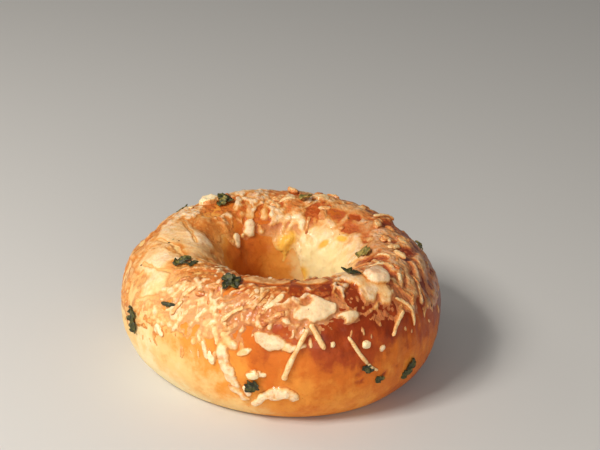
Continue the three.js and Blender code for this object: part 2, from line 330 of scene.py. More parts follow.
# The melted cheese: a film with bare windows in it, sheets, and shreds that have sunk in
melted = {
    "stepsAround": 540,
    "frontShare": 0.3,               # how much closer together the columns are in front
    "overFrom": -30,
    "overTo": 200,
    "stepsOver": 176,
    "underRows": 6,
    "underDepth": 2.5,
    "buried": 0.5,                   # how deep the top lies in the dough where there is no cheese
    "lump": (0.55, 11),              # depth and spacing of the swellings under it
    "film": [(-150, 0.24), (-112, 0.36), (-60, 0.3), (-35, 0.14), (0, 0.12), (40, 0.14), (70, 0.12),
             (120, 0.14), (160, 0.16)],
    "filmWaves": (0.20, 8.0),
    "wallFilm": 0.35,                # how much thicker it is on the hole's wall, and where
    "wallShare": [(50, 0), (90, 1), (172, 1), (-172, 0)],
    "curds": (0.2, 3.6),             # depth and spacing of the soft lumps
    "grains": (0.55, 1.9),           # and of the fine ones
    "grainShare": [(-150, 1.0), (-115, 1.0), (-88, 0.4), (-62, 0.5), (-40, 1.0), (30, 1.0), (60, 0.6),
                   (110, 0.4), (170, 0.5)],
    "scorch": {
        "spacing": 4.4,
        "stretch": 2.6,
        "share": [(-150, 0.8), (-112, 0.5), (-80, 0.25), (-62, 0.25), (-38, 0.8), (0, 0.9), (60, 0.9),
                  (110, 0.8), (140, 0.5), (170, 0.55)],
    },
    "edgeOuter": [(-160, 22), (-120, 14), (-90, 2), (-65, 4), (-40, 16), (-20, 27), (0, 33), (25, 42),
                  (45, 33), (70, 24), (110, 20), (150, 24)],
    "edgeInner": [(-150, 138), (-90, 142), (-30, 140), (30, 145), (90, 172), (140, 190), (178, 150)],
    "softness": [(-170, 0.75), (-120, 0.72), (-85, 0.9), (-70, 0.92), (-42, 0.2), (0, 0.12), (40, 0.3),
                 (80, 0.8), (140, 0.8)],
    "shredShare": [(-150, 0.3), (-110, 0.08), (-62, 0.3), (-40, 0.85), (20, 0.85), (45, 0.4), (70, 0.1),
                   (120, 0.14), (170, 0.25)],
    "sheetScatter": {
        "count": 110, "seed": 12, "over": (40, 128), "long": (6, 14), "thick": (0.5, 1.0),
        "slim": (0.4, 0.75),         # width as a share of the length
        "turn": (20, 40),            # middle and spread
    },
    "sheetShare": [(-150, 0.9), (-60, 0.9), (-35, 0.25), (40, 0.1), (70, 0.35), (120, 0.5), (170, 0.8)],
    "shreds": {
        "count": 700, "length": (5, 14), "width": (1.3, 2.4), "height": (0.35, 0.75), "seed": 11,
        "over": (14, 176), "bend": 0.9, "aligned": 0.6, "turn": (62, 34),
    },
    # (around, amount): pale yellow in the hole and on the shoulder, browned and painted shade, dull, golden
    # and glossy
    "yolk": [(-150, 0.2), (-60, 0.2), (60, 0.6), (110, 1), (150, 1), (175, 0.6)],
    "shoulderYolk": [(-90, 0), (-62, 0.25), (-30, 0.4), (-8, 0.1), (14, 0.25), (40, 0.1)],
    "brownAndShade": [(-170, 0.3), (-110, 0.15), (-65, 0.05), (-35, 0.05), (0, 0.12), (50, 0.5), (80, 1.0),
              (110, 0.9), (140, 0.6)],
    "dull": [(-80, 0), (-52, 0.12), (-20, 0.2), (8, 0.18), (35, 0.04), (60, 0)],
    "golden": [(-150, 0.3), (-112, 0.5), (-85, 0.2), (-65, 0.25), (-42, 0.95), (0, 1.0), (35, 0.3),
               (65, 0), (150, 0.1)],
    "gloss": [(-150, 0.4), (-95, 0.15), (-60, 0.3), (-30, 1.0), (60, 1.0), (110, 0.6), (170, 0.6)],
    # melted plates: around, over, length, width, thickness and turn from the ring's direction
    "sheets": [
        (-78, 62, 24, 17, 0.9, 10), (-62, 48, 15, 11, 0.8, 60), (-96, 84, 22, 15, 0.8, 20),
        (-120, 66, 20, 13, 0.7, 10), (-85, 108, 20, 12, 0.9, 0), (-60, 100, 16, 8, 0.7, 0),
        (-38, 96, 15, 7, 0.8, 0), (-10, 99, 16, 6, 0.8, 0), (14, 98, 13, 5, 0.7, 0),
        (14, 57, 15, 8.5, 1.7, 8), (26, 49, 5, 9, 1.6, 90), (1, 62, 12, 6, 1.0, 20),
        (-14, 66, 13, 8, 0.8, 40), (-28, 60, 12, 9, 0.8, 120), (30, 80, 9, 5, 1.1, 150),
        (45, 76, 11, 6, 1.0, 20), (70, 78, 15, 9, 1.3, 40), (84, 60, 13, 9, 0.8, 0),
        (100, 78, 16, 10, 0.9, 10), (150, 82, 20, 12, 0.9, 0), (180, 78, 22, 14, 0.8, 0),
        (-160, 74, 18, 12, 0.8, 0), (176, 104, 12, 9, 0.7, 90), (134, 148, 24, 26, 0.9, 90),
        (112, 138, 20, 18, 0.8, 90), (150, 160, 12, 16, 0.6, 90), (96, 118, 14, 10, 1.0, 30),
        (118, 96, 16, 9, 1.0, 0), (39, 93, 22, 9, 1.2, 90), (36, 68, 8, 5, 0.7, 80),
        (47, 66, 8, 8, 0.8, 60), (64, 56, 9, 6, 0.9, 20), (-50, 22, 9, 5, 0.45, 70),
        (-66, 26, 10, 7, 0.5, 80), (-80, 20, 12, 7, 0.4, 40),
    ],
    "pits": {"count": 190, "seed": 15, "over": (30, 116), "long": (1.4, 6.0), "slim": (0.4, 0.9),
             "turn": (50, 40)},
    "pitShare": [(-150, 0.55), (-95, 0.25), (-60, 0.3), (-35, 0.9), (30, 0.9), (70, 1.0), (120, 0.7),
                 (170, 0.6)],
    "flecks": {
        "count": 80, "seed": 4, "below": (-9, 4), "long": (1.6, 4.6), "thick": (0.0, 0.42),
        "slim": (0.25, 0.5), "narrowest": 1.0, "turn": (90, 20),
        "thickShare": [(-150, 0.8), (-60, 0.45), (-35, 0.6), (-15, 1.0), (100, 1.0)],
        "named": [
            (-47, 20, 5, 2.6, 0.5, 90), (-53, 10, 5.5, 3.4, 0.45, 80), (-39, 6, 5, 1.8, 0.3, 90),
            (-34, 19, 3.8, 2.6, 0.6, 60), (-25, 11, 6, 1.9, 0.8, 75), (-43, 34, 5, 3, 0.9, 0),
            (-29, 38, 6, 3, 0.9, 20), (-21, 33, 6, 3.4, 0.8, 40), (-57, 21, 6, 4, 0.5, 60),
            (-60, 30, 8, 5, 0.7, 45), (-8, 4, 4.4, 2.8, 0.9, 0), (-14, 20, 7, 3, 0.5, 30),
            (18, 29, 2.4, 1.8, 0.7, 80), (37, 19, 3, 2.4, 0.8, 50), (-72, 12, 9, 5, 0.4, 70),
        ],
    },
    # smooth sheets that shreds, pits and chunks keep off: around, over, length, width and turn
    "calm": [
        (14, 57, 15, 8.5, 8), (26, 49, 5, 9, 90), (39, 90, 25, 10, 90), (47, 69, 9, 9, 60),
        (-72, 60, 22, 14, 20), (-62, 48, 15, 11, 60), (-94, 88, 24, 18, 20), (-12, 98, 20, 6, 0),
        (14, 97, 16, 5, 0), (-112, 108, 16, 14, 0), (-98, 112, 24, 22, 0), (-72, 104, 22, 18, 0),
    ],
    # softened bits on side, crown and wall: width, thickness, then (around, over) along each
    "bits": [
        (4.6, 1.2, (-22, 20), (-21, 12)), (4.2, 1.1, (-21, 11), (-20, 5), (-18.5, -3)),
        (3.4, 1.0, (-18, -3), (-16, -10)), (3.8, 1.0, (-17, -13), (-14.5, -18), (-13.5, -23)),
        (2.2, 0.9, (-13, -11), (-11.5, -17)), (3.4, 1.3, (-9, -27), (-6, -18), (-2, -11)),
        (3.4, 1.1, (-3.5, -17), (0, -13.5)), (5.0, 1.3, (-0.5, -13), (2, -12)),
        (4.2, 1.1, (2, -12), (4.6, -14)), (5.2, 1.5, (-8, 33), (-2, 29.5)),
        (3.0, 0.9, (-1, 28.5), (3, 27)), (4.6, 0.9, (-21, 27), (-18, 24)), (2.6, 0.8, (-10, 5), (-6, 4)),
        (2.6, 1.0, (-30, 20), (-28, 10)), (2.2, 0.8, (-26, 34), (-24, 24)), (2.2, 0.9, (4, 27), (8, 29)),
        (5.5, 0.5, (-116, 112), (-112, 122)), (4.6, 0.5, (-131, 116), (-128, 124)),
        (4.0, 0.7, (-152, 106), (-149, 119)), (4.0, 0.5, (-100, 120), (-96, 130)),
        (3.8, 0.7, (-165, 110), (-161, 121)), (6.5, 0.9, (47, 64), (45, 60)),
        (6.8, 3.5, (46.5, 81), (51, 81)), (4.6, 1.9, (-147, 129), (-145, 133)),
        (3.0, 1.2, (-131, 134), (-129, 141)), (3.0, 1.0, (174, 122), (179, 134)),
        (3.6, 1.3, (169, 126), (161, 142), (155, 158), (151, 174)),
        (6.0, 0.9, (150, 124), (143, 146), (140, 168)), (5.0, 0.8, (131, 128), (127, 150), (124, 168)),
        (7.0, 0.8, (112, 124), (106, 146)), (5.0, 0.7, (92, 120), (84, 138)),
    ],
    # patches of a deep yellow in the hole
    "amber": [(157, 167, 11, 7, 90), (-178, 146, 16, 11, 90), (126, 127, 7, 3.6, 20),
              (172, 160, 8, 5, 90), (142, 140, 5, 3, 60)],
    "creases": [
        ((-66, 27), (-59, 38), (-52, 44)), ((-52, 42), (-51, 33)), ((-78, 52), (-66, 60), (-57, 70)),
        ((-72, 20), (-76, 34), (-74, 48)), ((-90, 70), (-80, 84), (-66, 88)),
        ((-108, 84), (-98, 96), (-86, 104)), ((-46, 52), (-40, 62), (-30, 70)), ((-124, 88), (-112, 94)),
        ((-60, 96), (-46, 104), (-30, 100)), ((76, 50), (84, 66), (80, 84)), ((96, 60), (104, 80)),
        ((60, 60), (68, 72), (66, 88)),
    ],
    # places left bare, where the skin shows dark and glossy: around, over, length, width and turn.
    # Strands, pits and chunks keep "clearMargin" mm off those at least "largeWindow" mm long
    "largeWindow": 8,
    "clearMargin": 2,
    "windows": [
        (13, 78, 18, 6.2, 5), (30, 68, 8, 4.5, 60), (-2, 40, 8, 5, 0), (19, 41, 9, 7, 0),
        (32, 38, 9, 7.5, 0), (44, 48, 10, 7, 0), (52, 70, 6, 4, 30), (-44, 84, 9, 4, 30),
        (-24, 78, 8, 3, 60), (-136, 96, 14, 4, 10), (136, 100, 7, 3, 0), (66, 92, 6, 4, 0),
        (98, 96, 7, 4, 20), (-52, 38, 9, 4, 50), (118, 62, 10, 5, 0), (-160, 118, 8, 6, 60),
        (-132, 130, 9, 4.5, 60), (-145, 126, 8, 4, 80), (-112, 130, 7, 4, 60), (-30, 42, 6, 3, 30),
        (160, 112, 6, 10, 0), (146, 176, 6, 9, 0), (-100, 46, 10, 2, 10), (80, 40, 8, 5, 0),
    ],
}


def keptClear(around, over):
    # whether any of these places lies in one of the larger bare windows, or on a calm sheet
    places = ringPoint(around, over)
    spots = [spot for spot in melted["windows"] if spot[2] >= melted["largeWindow"]] + melted["calm"]
    margin = melted["clearMargin"]
    for u, v, long, wide, turn in spots:
        if np.any(patchMask(places, u, v, long + margin, wide + margin, turn, 0, 0) > 0):
            return True
    return False


def soften(field, times):
    # evens a grid out, each value with its neighbours
    for _ in range(times):
        padded = np.pad(field, ((0, 0), (1, 1)), mode="edge")
        across = (padded[:, :-2] + padded[:, 2:]) / 2
        along = (np.roll(field, 1, 0) + np.roll(field, -1, 0)) / 2
        field = (field + across + along) / 3
    return field


class CheeseField:
    # thickness of the melted cheese over the skin, on a grid of both angles
    def __init__(self, lines):
        even = np.arange(melted["stepsAround"]) * 360 / melted["stepsAround"] - 180
        self.around = even - np.degrees(melted["frontShare"] * np.sin(np.radians(even)))
        self.over = np.linspace(melted["overFrom"], melted["overTo"], melted["stepsOver"])
        self.a, self.o = gridOf(self.around, self.over)
        self.base, self.normal = doughBase(self.a, self.o)
        self.plain = ringPoint(self.a, self.o)
        self.cover = self.coverAt()
        self.creased = self.creases()
        self.calm = self.calmAt()
        self.scorch = self.scorchAt() * (1 - self.calm)
        self.thickness = self.meltedThickness(lines)
        # crests are cream; grooves are darker, partly thinner cheese over the crust and partly painted shade
        self.crest = self.thickness - soften(self.thickness, 14)

    def coverAt(self):
        ragged = 6 * noiseAt(self.plain, 7, 31) + 3 * noiseAt(self.plain, 3, 32)
        outer = byAngle(melted["edgeOuter"], self.a) + ragged
        inner = byAngle(melted["edgeInner"], self.a) + 2 * ragged
        return smoothStep(-5, 7, self.o - outer) * (1 - smoothStep(-7, 5, self.o - inner))

    def scorchAt(self):
        # long patches where the cheese is thin and browned: 1 inside them
        rule = melted["scorch"]
        angle = np.radians(self.a)
        unrolled = np.stack([37 * np.cos(angle) / rule["stretch"], 37 * np.sin(angle) / rule["stretch"],
                             0.37 * self.o], axis=-1)
        noise = noiseAt(unrolled, rule["spacing"], 41) + 0.5 * noiseAt(unrolled, rule["spacing"] / 2.2, 42)
        band = smoothStep(16, 34, self.o) * (1 - smoothStep(112, 132, self.o))
        return smoothStep(0.0, 0.5, noise) * band * byAngle(rule["share"], self.a)

    def calmAt(self):
        calm = np.zeros_like(self.a)
        for k, (around, over, long, wide, turn) in enumerate(melted["calm"]):
            near = windowOf([around], [over], self.around, self.over, max(long, wide))
            mask = patchMask(self.plain[near], around, over, long, wide, turn, 0.15, 70 + k)
            calm[near] = np.maximum(calm[near], smoothStep(-0.1, 0.3, mask))
        return calm

    def film(self):
        # the thin cheese that everything else lies in
        uneven, spacing = melted["filmWaves"]
        film = byAngle(melted["film"], self.a) + uneven * noiseAt(self.plain, spacing, 33)
        depth, spacing = melted["curds"]
        film = film + melted["wallFilm"] * smoothStep(112, 126, self.o) * byAngle(melted["wallShare"], self.a)
        curds = noiseAt(self.plain, spacing, 34) + 0.5 * noiseAt(self.plain, spacing / 2, 37)
        film = film + depth * curds * (1 - 0.6 * self.calm) + 0.25 * self.calm
        depth, spacing = melted["grains"]
        patchy = 0.75 + 0.5 * noiseAt(self.plain, 7, 38)
        patchy = patchy * (1 - 0.7 * smoothStep(110, 135, self.o))
        patchy = patchy * (1 - 0.75 * self.calm)
        self.grains = grainsAt(self.plain, spacing, 39) * byAngle(melted["grainShare"], self.a) * patchy
        return film + depth * (self.grains - 0.35)

    def meltedThickness(self, lines):
        film = self.film()
        shreds = self.sunkShreds() * (1 - 0.85 * self.calm)
        sheets = self.sheets()
        pile = (np.maximum(shreds, 0) ** 3 + np.maximum(sheets, 0) ** 3) ** (1 / 3)
        pile = pile + 0.3 * np.minimum(shreds, sheets)
        melt = byAngle(melted["softness"], self.a)
        pile = pile * (1 - melt) + soften(pile, 8) * melt
        bare = self.windows()
        total = film * (1 - 0.6 * self.scorch) + pile * (1 - 0.3 * self.scorch) - 0.45 * self.creased
        # beads in the bare windows
        beads = 0.36 * grainsAt(self.plain, 1.5, 44) - 0.2
        total = total * (1 - bare) + beads * bare
        total = np.maximum(total, self.fillets(lines) * (1 - 0.5 * bare))
        total = total * self.cover - melted["buried"] * (1 - self.cover)
        # flecks and bits lie on top, also in the bare windows
        raised = np.maximum(self.flecks(), self.bits())
        self.bare = bare * (1 - smoothStep(0, 0.3, raised))
        self.clean = 0.8 * smoothStep(0.1, 0.7, raised)
        return np.maximum(total, raised)

    def sunkShreds(self):
        rule = melted["shreds"]
        dice = random.Random(rule["seed"])
        height = np.zeros_like(self.a)
        for k in range(rule["count"]):
            around = spreadRound(k, dice.uniform(-5, 5))
            over = dice.uniform(*rule["over"])
            turn = drawTurn(dice, rule)
            if dice.random() > byAngle(melted["shredShare"], around):
                continue
            length, bend = dice.uniform(*rule["length"]), dice.gauss(0, rule["bend"])
            us, vs = shredPlaces(around, over, length, turn, bend, np.linspace(-0.5, 0.5, 5))
            width, tall = dice.uniform(*rule["width"]), dice.uniform(*rule["height"])
            near = windowOf(us, vs, self.around, self.over, 2 * width)
            away = distanceToPath(self.plain[near], ringPoint(us, vs)) / (width / 2)
            bump = tall * np.sqrt(np.clip(1 - away ** 2, 0, 1)) + 0.12 * np.exp(-(away / 1.5) ** 2)
            height[near] = (height[near] ** 4 + bump ** 4) ** 0.25 + 0.12 * np.minimum(height[near], bump)
        return height

    def sheets(self):
        rule = melted["sheetScatter"]
        dice = random.Random(rule["seed"])
        rows = list(melted["sheets"])
        for k in range(rule["count"]):
            around = spreadRound(k, dice.uniform(-8, 8))
            long = dice.uniform(*rule["long"])
            row = (around, dice.uniform(*rule["over"]), long, long * dice.uniform(*rule["slim"]),
                   dice.uniform(*rule["thick"]), dice.gauss(*rule["turn"]))
            if dice.random() < byAngle(melted["sheetShare"], around):
                rows.append(row)
        height = np.zeros_like(self.a)
        for k, (around, over, long, wide, thick, turn) in enumerate(rows):
            near = windowOf([around], [over], self.around, self.over, max(long, wide) * 0.75)
            mask = patchMask(self.plain[near], around, over, long, wide, turn, 0.28, 40 + k)
            plate = thick * (smoothStep(0, 0.16, mask) * 0.75 + smoothStep(0, 0.7, mask) * 0.25)
            if k >= len(melted["sheets"]):
                plate = plate * (1 - 0.9 * self.calm[near])
            height[near] = (height[near] ** 4 + plate ** 4) ** 0.25
        return height

    def fillets(self, lines):
        # cheese that has run together round the foot of each strand
        height = np.full(self.a.shape, -melted["buried"])
        for width, us, vs, *_ in lines:
            near = windowOf(us, vs, self.around, self.over, 2 * width)
            away = distanceToPath(self.plain[near], ringPoint(us[::2], vs[::2])) / width
            height[near] = np.maximum(height[near], 0.62 * width * np.exp(-(away / 0.75) ** 2) - 0.2)
        return height

    def flecks(self):
        # small bits of cheese beyond the edge of the rest
        rule = melted["flecks"]
        dice = random.Random(rule["seed"])
        rows = list(rule["named"])
        for k in range(rule["count"]):
            around = spreadRound(k)
            over = byAngle(melted["edgeOuter"], around) + dice.uniform(*rule["below"])
            long = dice.uniform(*rule["long"])
            wide = max(rule["narrowest"], long * dice.uniform(*rule["slim"]))
            rows.append((around, over, long, wide, dice.uniform(*rule["thick"]), dice.gauss(*rule["turn"])))
        height = np.full(self.a.shape, -melted["buried"])
        for k, (around, over, long, wide, thick, turn) in enumerate(rows):
            thick = thick * byAngle(rule["thickShare"], around)
            near = windowOf([around], [over], self.around, self.over, long)
            mask = patchMask(self.plain[near], around, over, long, wide, turn, 0.45, 120 + k)
            plate = (thick + melted["buried"]) * smoothStep(-0.1, 0.45, mask) - melted["buried"]
            height[near] = np.maximum(height[near], plate)
        return height

    def bits(self):
        # the wider a bit is, the smoother are its outline and its top
        height = np.full(self.a.shape, -melted["buried"])
        for k, (width, thick, *path) in enumerate(melted["bits"]):
            us, vs = np.array(path, float).T
            near = windowOf(us, vs, self.around, self.over, width)
            places = self.plain[near]
            away = distanceToPath(places, ringPoint(us, vs)) / (width / 2)
            ragged = 0.36 * noiseAt(places, 3.2, 200 + k) + 0.16 * noiseAt(places, 1.3, 230 + k)
            away = away + ragged * min(1, 3.4 / width)
            plate = (thick + melted["buried"]) * np.sqrt(np.clip(1.15 - away ** 2, 0, 1)) - melted["buried"]
            lumpy = 0.3 * noiseAt(places, 2.2, 260 + k) + 0.15 * noiseAt(places, 1.1, 290)
            plate = plate + lumpy * min(1, (3.4 / width) ** 2) * (plate > 0)
            height[near] = np.maximum(height[near], plate)
        return height

    def creases(self):
        mark = np.zeros_like(self.a)
        for path in melted["creases"]:
            us, vs = np.array(path, float).T
            near = windowOf(us, vs, self.around, self.over, 3)
            places = self.plain[near]
            away = distanceToPath(places, ringPoint(us, vs)) + 0.4 * noiseAt(places, 2.5, 36)
            mark[near] = np.maximum(mark[near], np.exp(-(away / 0.5) ** 2))
        return mark

    def windows(self):
        # 1 where the skin is bare: the large windows, and small pits between the shreds
        rule = melted["pits"]
        dice = random.Random(rule["seed"])
        rows = list(melted["windows"])
        for k in range(rule["count"]):
            long = dice.triangular(*rule["long"], rule["long"][0])
            around, over = spreadRound(k, dice.uniform(-8, 8)), dice.uniform(*rule["over"])
            row = (around, over, long, long * dice.uniform(*rule["slim"]), dice.gauss(*rule["turn"]))
            creamy = 50 < around < 178 and over > 102
            wanted = dice.random() < byAngle(melted["pitShare"], around)
            if wanted and not creamy and not keptClear(around, over):
                rows.append(row)
        bare = np.zeros_like(self.a)
        for k, (around, over, long, wide, turn) in enumerate(rows):
            near = windowOf([around], [over], self.around, self.over, max(long, wide) * 0.75)
            mask = patchMask(self.plain[near], around, over, long, wide, turn, 0.75, 80 + k)
            bare[near] = np.maximum(bare[near], smoothStep(0.0, 0.3, mask))
        return bare

    def topAt(self, around, over, lift=0.0):
        # a point on the cheese, or on the skin where it is bare
        thickness = self.thicknessAt(around, over)
        base, normal = doughBase(around, over)
        return base + normal * (np.maximum(thickness, 0) + lift)[..., None], normal

    def thicknessAt(self, around, over):
        field = self.thickness
        x = np.interp((np.asarray(around, float) + 180) % 360 - 180, [*self.around, 180],
                      range(len(self.around) + 1))
        y = (np.asarray(over, float) - self.over[0]) / (self.over[1] - self.over[0])
        y = np.clip(y, 0, len(self.over) - 1.001)
        i, j = np.floor(x).astype(int) % len(self.around), np.floor(y).astype(int)
        fx, fy = x - np.floor(x), y - j
        nextI = (i + 1) % len(self.around)
        return ((field[i, j] * (1 - fy) + field[i, j + 1] * fy) * (1 - fx)
                + (field[nextI, j] * (1 - fy) + field[nextI, j + 1] * fy) * fx)


def creamOf(field):
    # crests are cream; grooves and creases are darker, partly thinner cheese over the crust and partly
    # painted shade; the dull patches in front are darker too
    cream = 0.72 * field.thickness + 1.3 * field.crest - 0.5 * field.creased + 0.3 * (field.grains - 0.4)
    cream = cream - byAngle(melted["dull"], field.a) * smoothStep(34, 48, field.o) * (1 - 0.7 * field.calm)
    return cream * (1 - field.bare) - 0.06 * field.bare


def tintsAt(points, around, over):
    # the masks that the cheese's colours and gloss read
    toast = 0.5 + 0.35 * noiseAt(points, 10, 51) + 0.25 * noiseAt(points, 3.2, 52)
    yolk = smoothStep(118, 150, over) * byAngle(melted["yolk"], around)
    shoulder = smoothStep(12, 30, over) * (1 - smoothStep(58, 78, over))
    yolk += shoulder * byAngle(melted["shoulderYolk"], around)
    # browned cheese, with painted shade added mostly on the right side, away from the key lamp
    brownAndShade = byAngle(melted["brownAndShade"], around) * (1 - smoothStep(106, 132, over))
    golden = byAngle(melted["golden"], around) * smoothStep(24, 40, over) * (1 - smoothStep(110, 124, over))
    amber = np.zeros_like(toast)
    for k, (u, v, long, wide, turn) in enumerate(melted["amber"]):
        patch = patchMask(points, u, v, long, wide, turn, 0.3, 300 + k)
        amber = np.maximum(amber, smoothStep(0, 0.5, patch))
    return {"toast": toast, "yolk": yolk, "brownAndShade": brownAndShade, "golden": golden, "amber": amber,
            "gloss": byAngle(melted["gloss"], around)}


def makeMeltedCheese(field):
    # a closed shell: the cheese's top, and an underside that lies hidden in the dough
    underOver = np.linspace(melted["overTo"], melted["overFrom"], melted["underRows"])
    a, o = gridOf(field.around, underOver)
    underBase, underNormal = doughBase(a, o)

    def closed(top, under):
        return np.concatenate([top, under], axis=1)

    points = closed(field.base + field.normal * field.thickness[..., None],
                    underBase - underNormal * melted["underDepth"])
    allAround, allOver = closed(field.a, a), closed(field.o, o)
    buried, nothing = np.full(a.shape, -melted["buried"]), np.zeros_like(a)
    attributes = {
        "thickness": closed(field.thickness, buried),
        "cream": closed(creamOf(field), buried),
        "scorch": closed(field.scorch, nothing),
        "calm": closed(np.maximum(field.calm, field.clean), nothing),
        "bakeAndShade": bakeAt(points, allAround, allOver),
        **tintsAt(points, allAround, allOver)}
    faces = gridFaces(len(field.around), points.shape[1])
    piece = newMesh("melted_cheese", points.reshape(-1, 3), faces, attributes)
    piece.data.materials.append(cheeseMaterial())
    return piece


def makeGuide(name, points, edges, attributes):
    # points, or points joined by edges, that a tree of geometry nodes grows pieces on
    mesh = bpy.data.meshes.new(name)
    mesh.from_pydata((np.asarray(points) * mm).tolist(), edges, [])
    for key, values in attributes.items():
        vector = np.ndim(values) == 2
        layer = mesh.attributes.new(key, "FLOAT_VECTOR" if vector else "FLOAT", "POINT")
        layer.data.foreach_set("vector" if vector else "value", np.ravel(values).astype(np.float32))
    guide = bpy.data.objects.new(name, mesh)
    scene.collection.objects.link(guide)
    return guide


def startTree(name, inputs):
    # inputs: label -> (kind of socket, value)
    tree = bpy.data.node_groups.new(name, "GeometryNodeTree")
    tree.interface.new_socket("Geometry", in_out="INPUT", socket_type="NodeSocketGeometry")
    tree.interface.new_socket("Geometry", in_out="OUTPUT", socket_type="NodeSocketGeometry")
    for label, (kind, value) in inputs.items():
        socket = tree.interface.new_socket(label, in_out="INPUT", socket_type="NodeSocket" + kind)
        if value is not None:
            socket.default_value = value
    return tree, tree.nodes.new("NodeGroupInput").outputs


def endTree(tree, geometry, material):
    whole = addNode(tree, "GeometryNodeRealizeInstances", {"Geometry": geometry}).outputs[0]
    smooth = addNode(tree, "GeometryNodeSetShadeSmooth", {"Geometry": whole}).outputs[0]
    finished = addNode(tree, "GeometryNodeSetMaterial", {"Geometry": smooth, "Material": material}).outputs[0]
    addNode(tree, "NodeGroupOutput", {"Geometry": finished})
    return tree


def readAttribute(tree, name, kind="FLOAT"):
    node = addNode(tree, "GeometryNodeInputNamedAttribute", {"Name": name}, data_type=kind)
    return node.outputs["Attribute"]


def storeAttribute(tree, geometry, name, value, kind="FLOAT"):
    given = {"Geometry": geometry, "Name": name, "Value": value}
    return addNode(tree, "GeometryNodeStoreNamedAttribute", given, data_type=kind, domain="POINT").outputs[0]


def positionOf(tree):
    return addNode(tree, "GeometryNodeInputPosition").outputs[0]


def movePoints(tree, geometry, offset):
    return addNode(tree, "GeometryNodeSetPosition", {"Geometry": geometry, "Offset": offset}).outputs[0]


def vectorOf(tree, x, y, z):
    return addNode(tree, "ShaderNodeCombineXYZ", {"X": x, "Y": y, "Z": z}).outputs[0]


def calculate(tree, operation, *values):
    return addNode(tree, "ShaderNodeMath", dict(enumerate(values)), operation=operation).outputs[0]


def calculateVector(tree, operation, *values):
    return addNode(tree, "ShaderNodeVectorMath", dict(enumerate(values)), operation=operation).outputs[0]


def scaleVector(tree, vector, scale):
    node = addNode(tree, "ShaderNodeVectorMath", {"Vector": vector, "Scale": scale}, operation="SCALE")
    return node.outputs[0]


def growPiece(name, guide, tree, settings):
    # runs the tree on the guide, keeps the result as a plain mesh and clears the guide away
    modifier = guide.modifiers.new(name, "NODES")
    modifier.node_group = tree
    for socket in tree.interface.items_tree:
        if socket.item_type == "SOCKET" and socket.in_out == "INPUT" and socket.name in settings:
            modifier[socket.identifier] = settings[socket.name]
    shapes = bpy.context.evaluated_depsgraph_get()
    mesh = bpy.data.meshes.new_from_object(guide.evaluated_get(shapes), preserve_all_data_layers=True,
                                           depsgraph=shapes)
    guide.modifiers.remove(modifier)
    bpy.data.objects.remove(guide)
    piece = bpy.data.objects.new(name, mesh)
    mesh.name = name
    scene.collection.objects.link(piece)
    print(name, len(mesh.polygons), "faces")
    return piece


def noiseField(tree, where, scale, seed, detail=2.0):
    # centred on 0, as a number and as a vector
    node = addNode(tree, "ShaderNodeTexNoise", {"Vector": where, "W": seed, "Scale": scale, "Detail": detail},
                   noise_dimensions="4D")
    number = calculate(tree, "SUBTRACT", node.outputs["Fac"], 0.5)
    vector = calculateVector(tree, "SUBTRACT", node.outputs["Color"], (0.5, 0.5, 0.5))
    return number, vector


def storeCrest(tree, geometry):
    # 1 on top of a strand or chunk, 0 on its flanks
    normal = addNode(tree, "GeometryNodeInputNormal").outputs["Normal"]
    facing = readAttribute(tree, "facing", "FLOAT_VECTOR")
    upward = addNode(tree, "ShaderNodeVectorMath", {0: normal, 1: facing}, operation="DOT_PRODUCT")
    return storeAttribute(tree, geometry, "crest", upward.outputs["Value"])


# Strands. Those that stand out lie as the frame's solid has them: width, then (around, over) along each
strands = {
    "named": [
        (2.1, (9, 42), (6, 30), (3, 16), (1, 2)),
        (2.0, (10, 46), (12, 38), (15, 26)),
        (1.4, (24, 34), (27, 22), (31, 10)),
        (1.2, (31, 10), (33, 6), (35, 3)),
        (1.5, (50, 42), (46, 36), (42, 26)),
        (1.4, (49, 54), (54, 42), (54, 26)),
        (1.9, (126, 86), (126, 74), (125, 62)),
    ],
    "count": 1000,
    "seed": 5,
    "points": 15,                    # along each strand
    "over": (18, 165, 70),           # lowest, highest and most usual
    "length": (4, 9.5),
    "width": (1.2, 2.2),
    "wander": 0.34,
    "bend": 0.4,
    "aligned": 0.75,                 # the share that lies about one way, then its turn and spread
    "turn": (52, 26),
    "wallFrom": 115,                 # past this they run down the hole's wall
    "wallTurn": (90, 20),
    "crisp": 0.02,                   # the share of strands that lie on top
    "crispSunk": 0.35,               # how far these, the rest and the named ones have sunk in
    "sunk": (0.7, 1.1),
    "namedSunk": 0.18,
    "namedToast": 0.2,
    "share": [(-150, 0.12), (-95, 0.02), (-60, 0.08), (-42, 0.6), (-20, 0.85), (30, 0.85), (60, 0.22),
              (110, 0.06), (170, 0.08)],
    "shape": {"Flatness": 0.72, "Unevenness": 0.65 * mm, "Lump spacing": 2.2 * mm, "Crumbliness": 0.6 * mm,
              "Seed": 2.0},
}


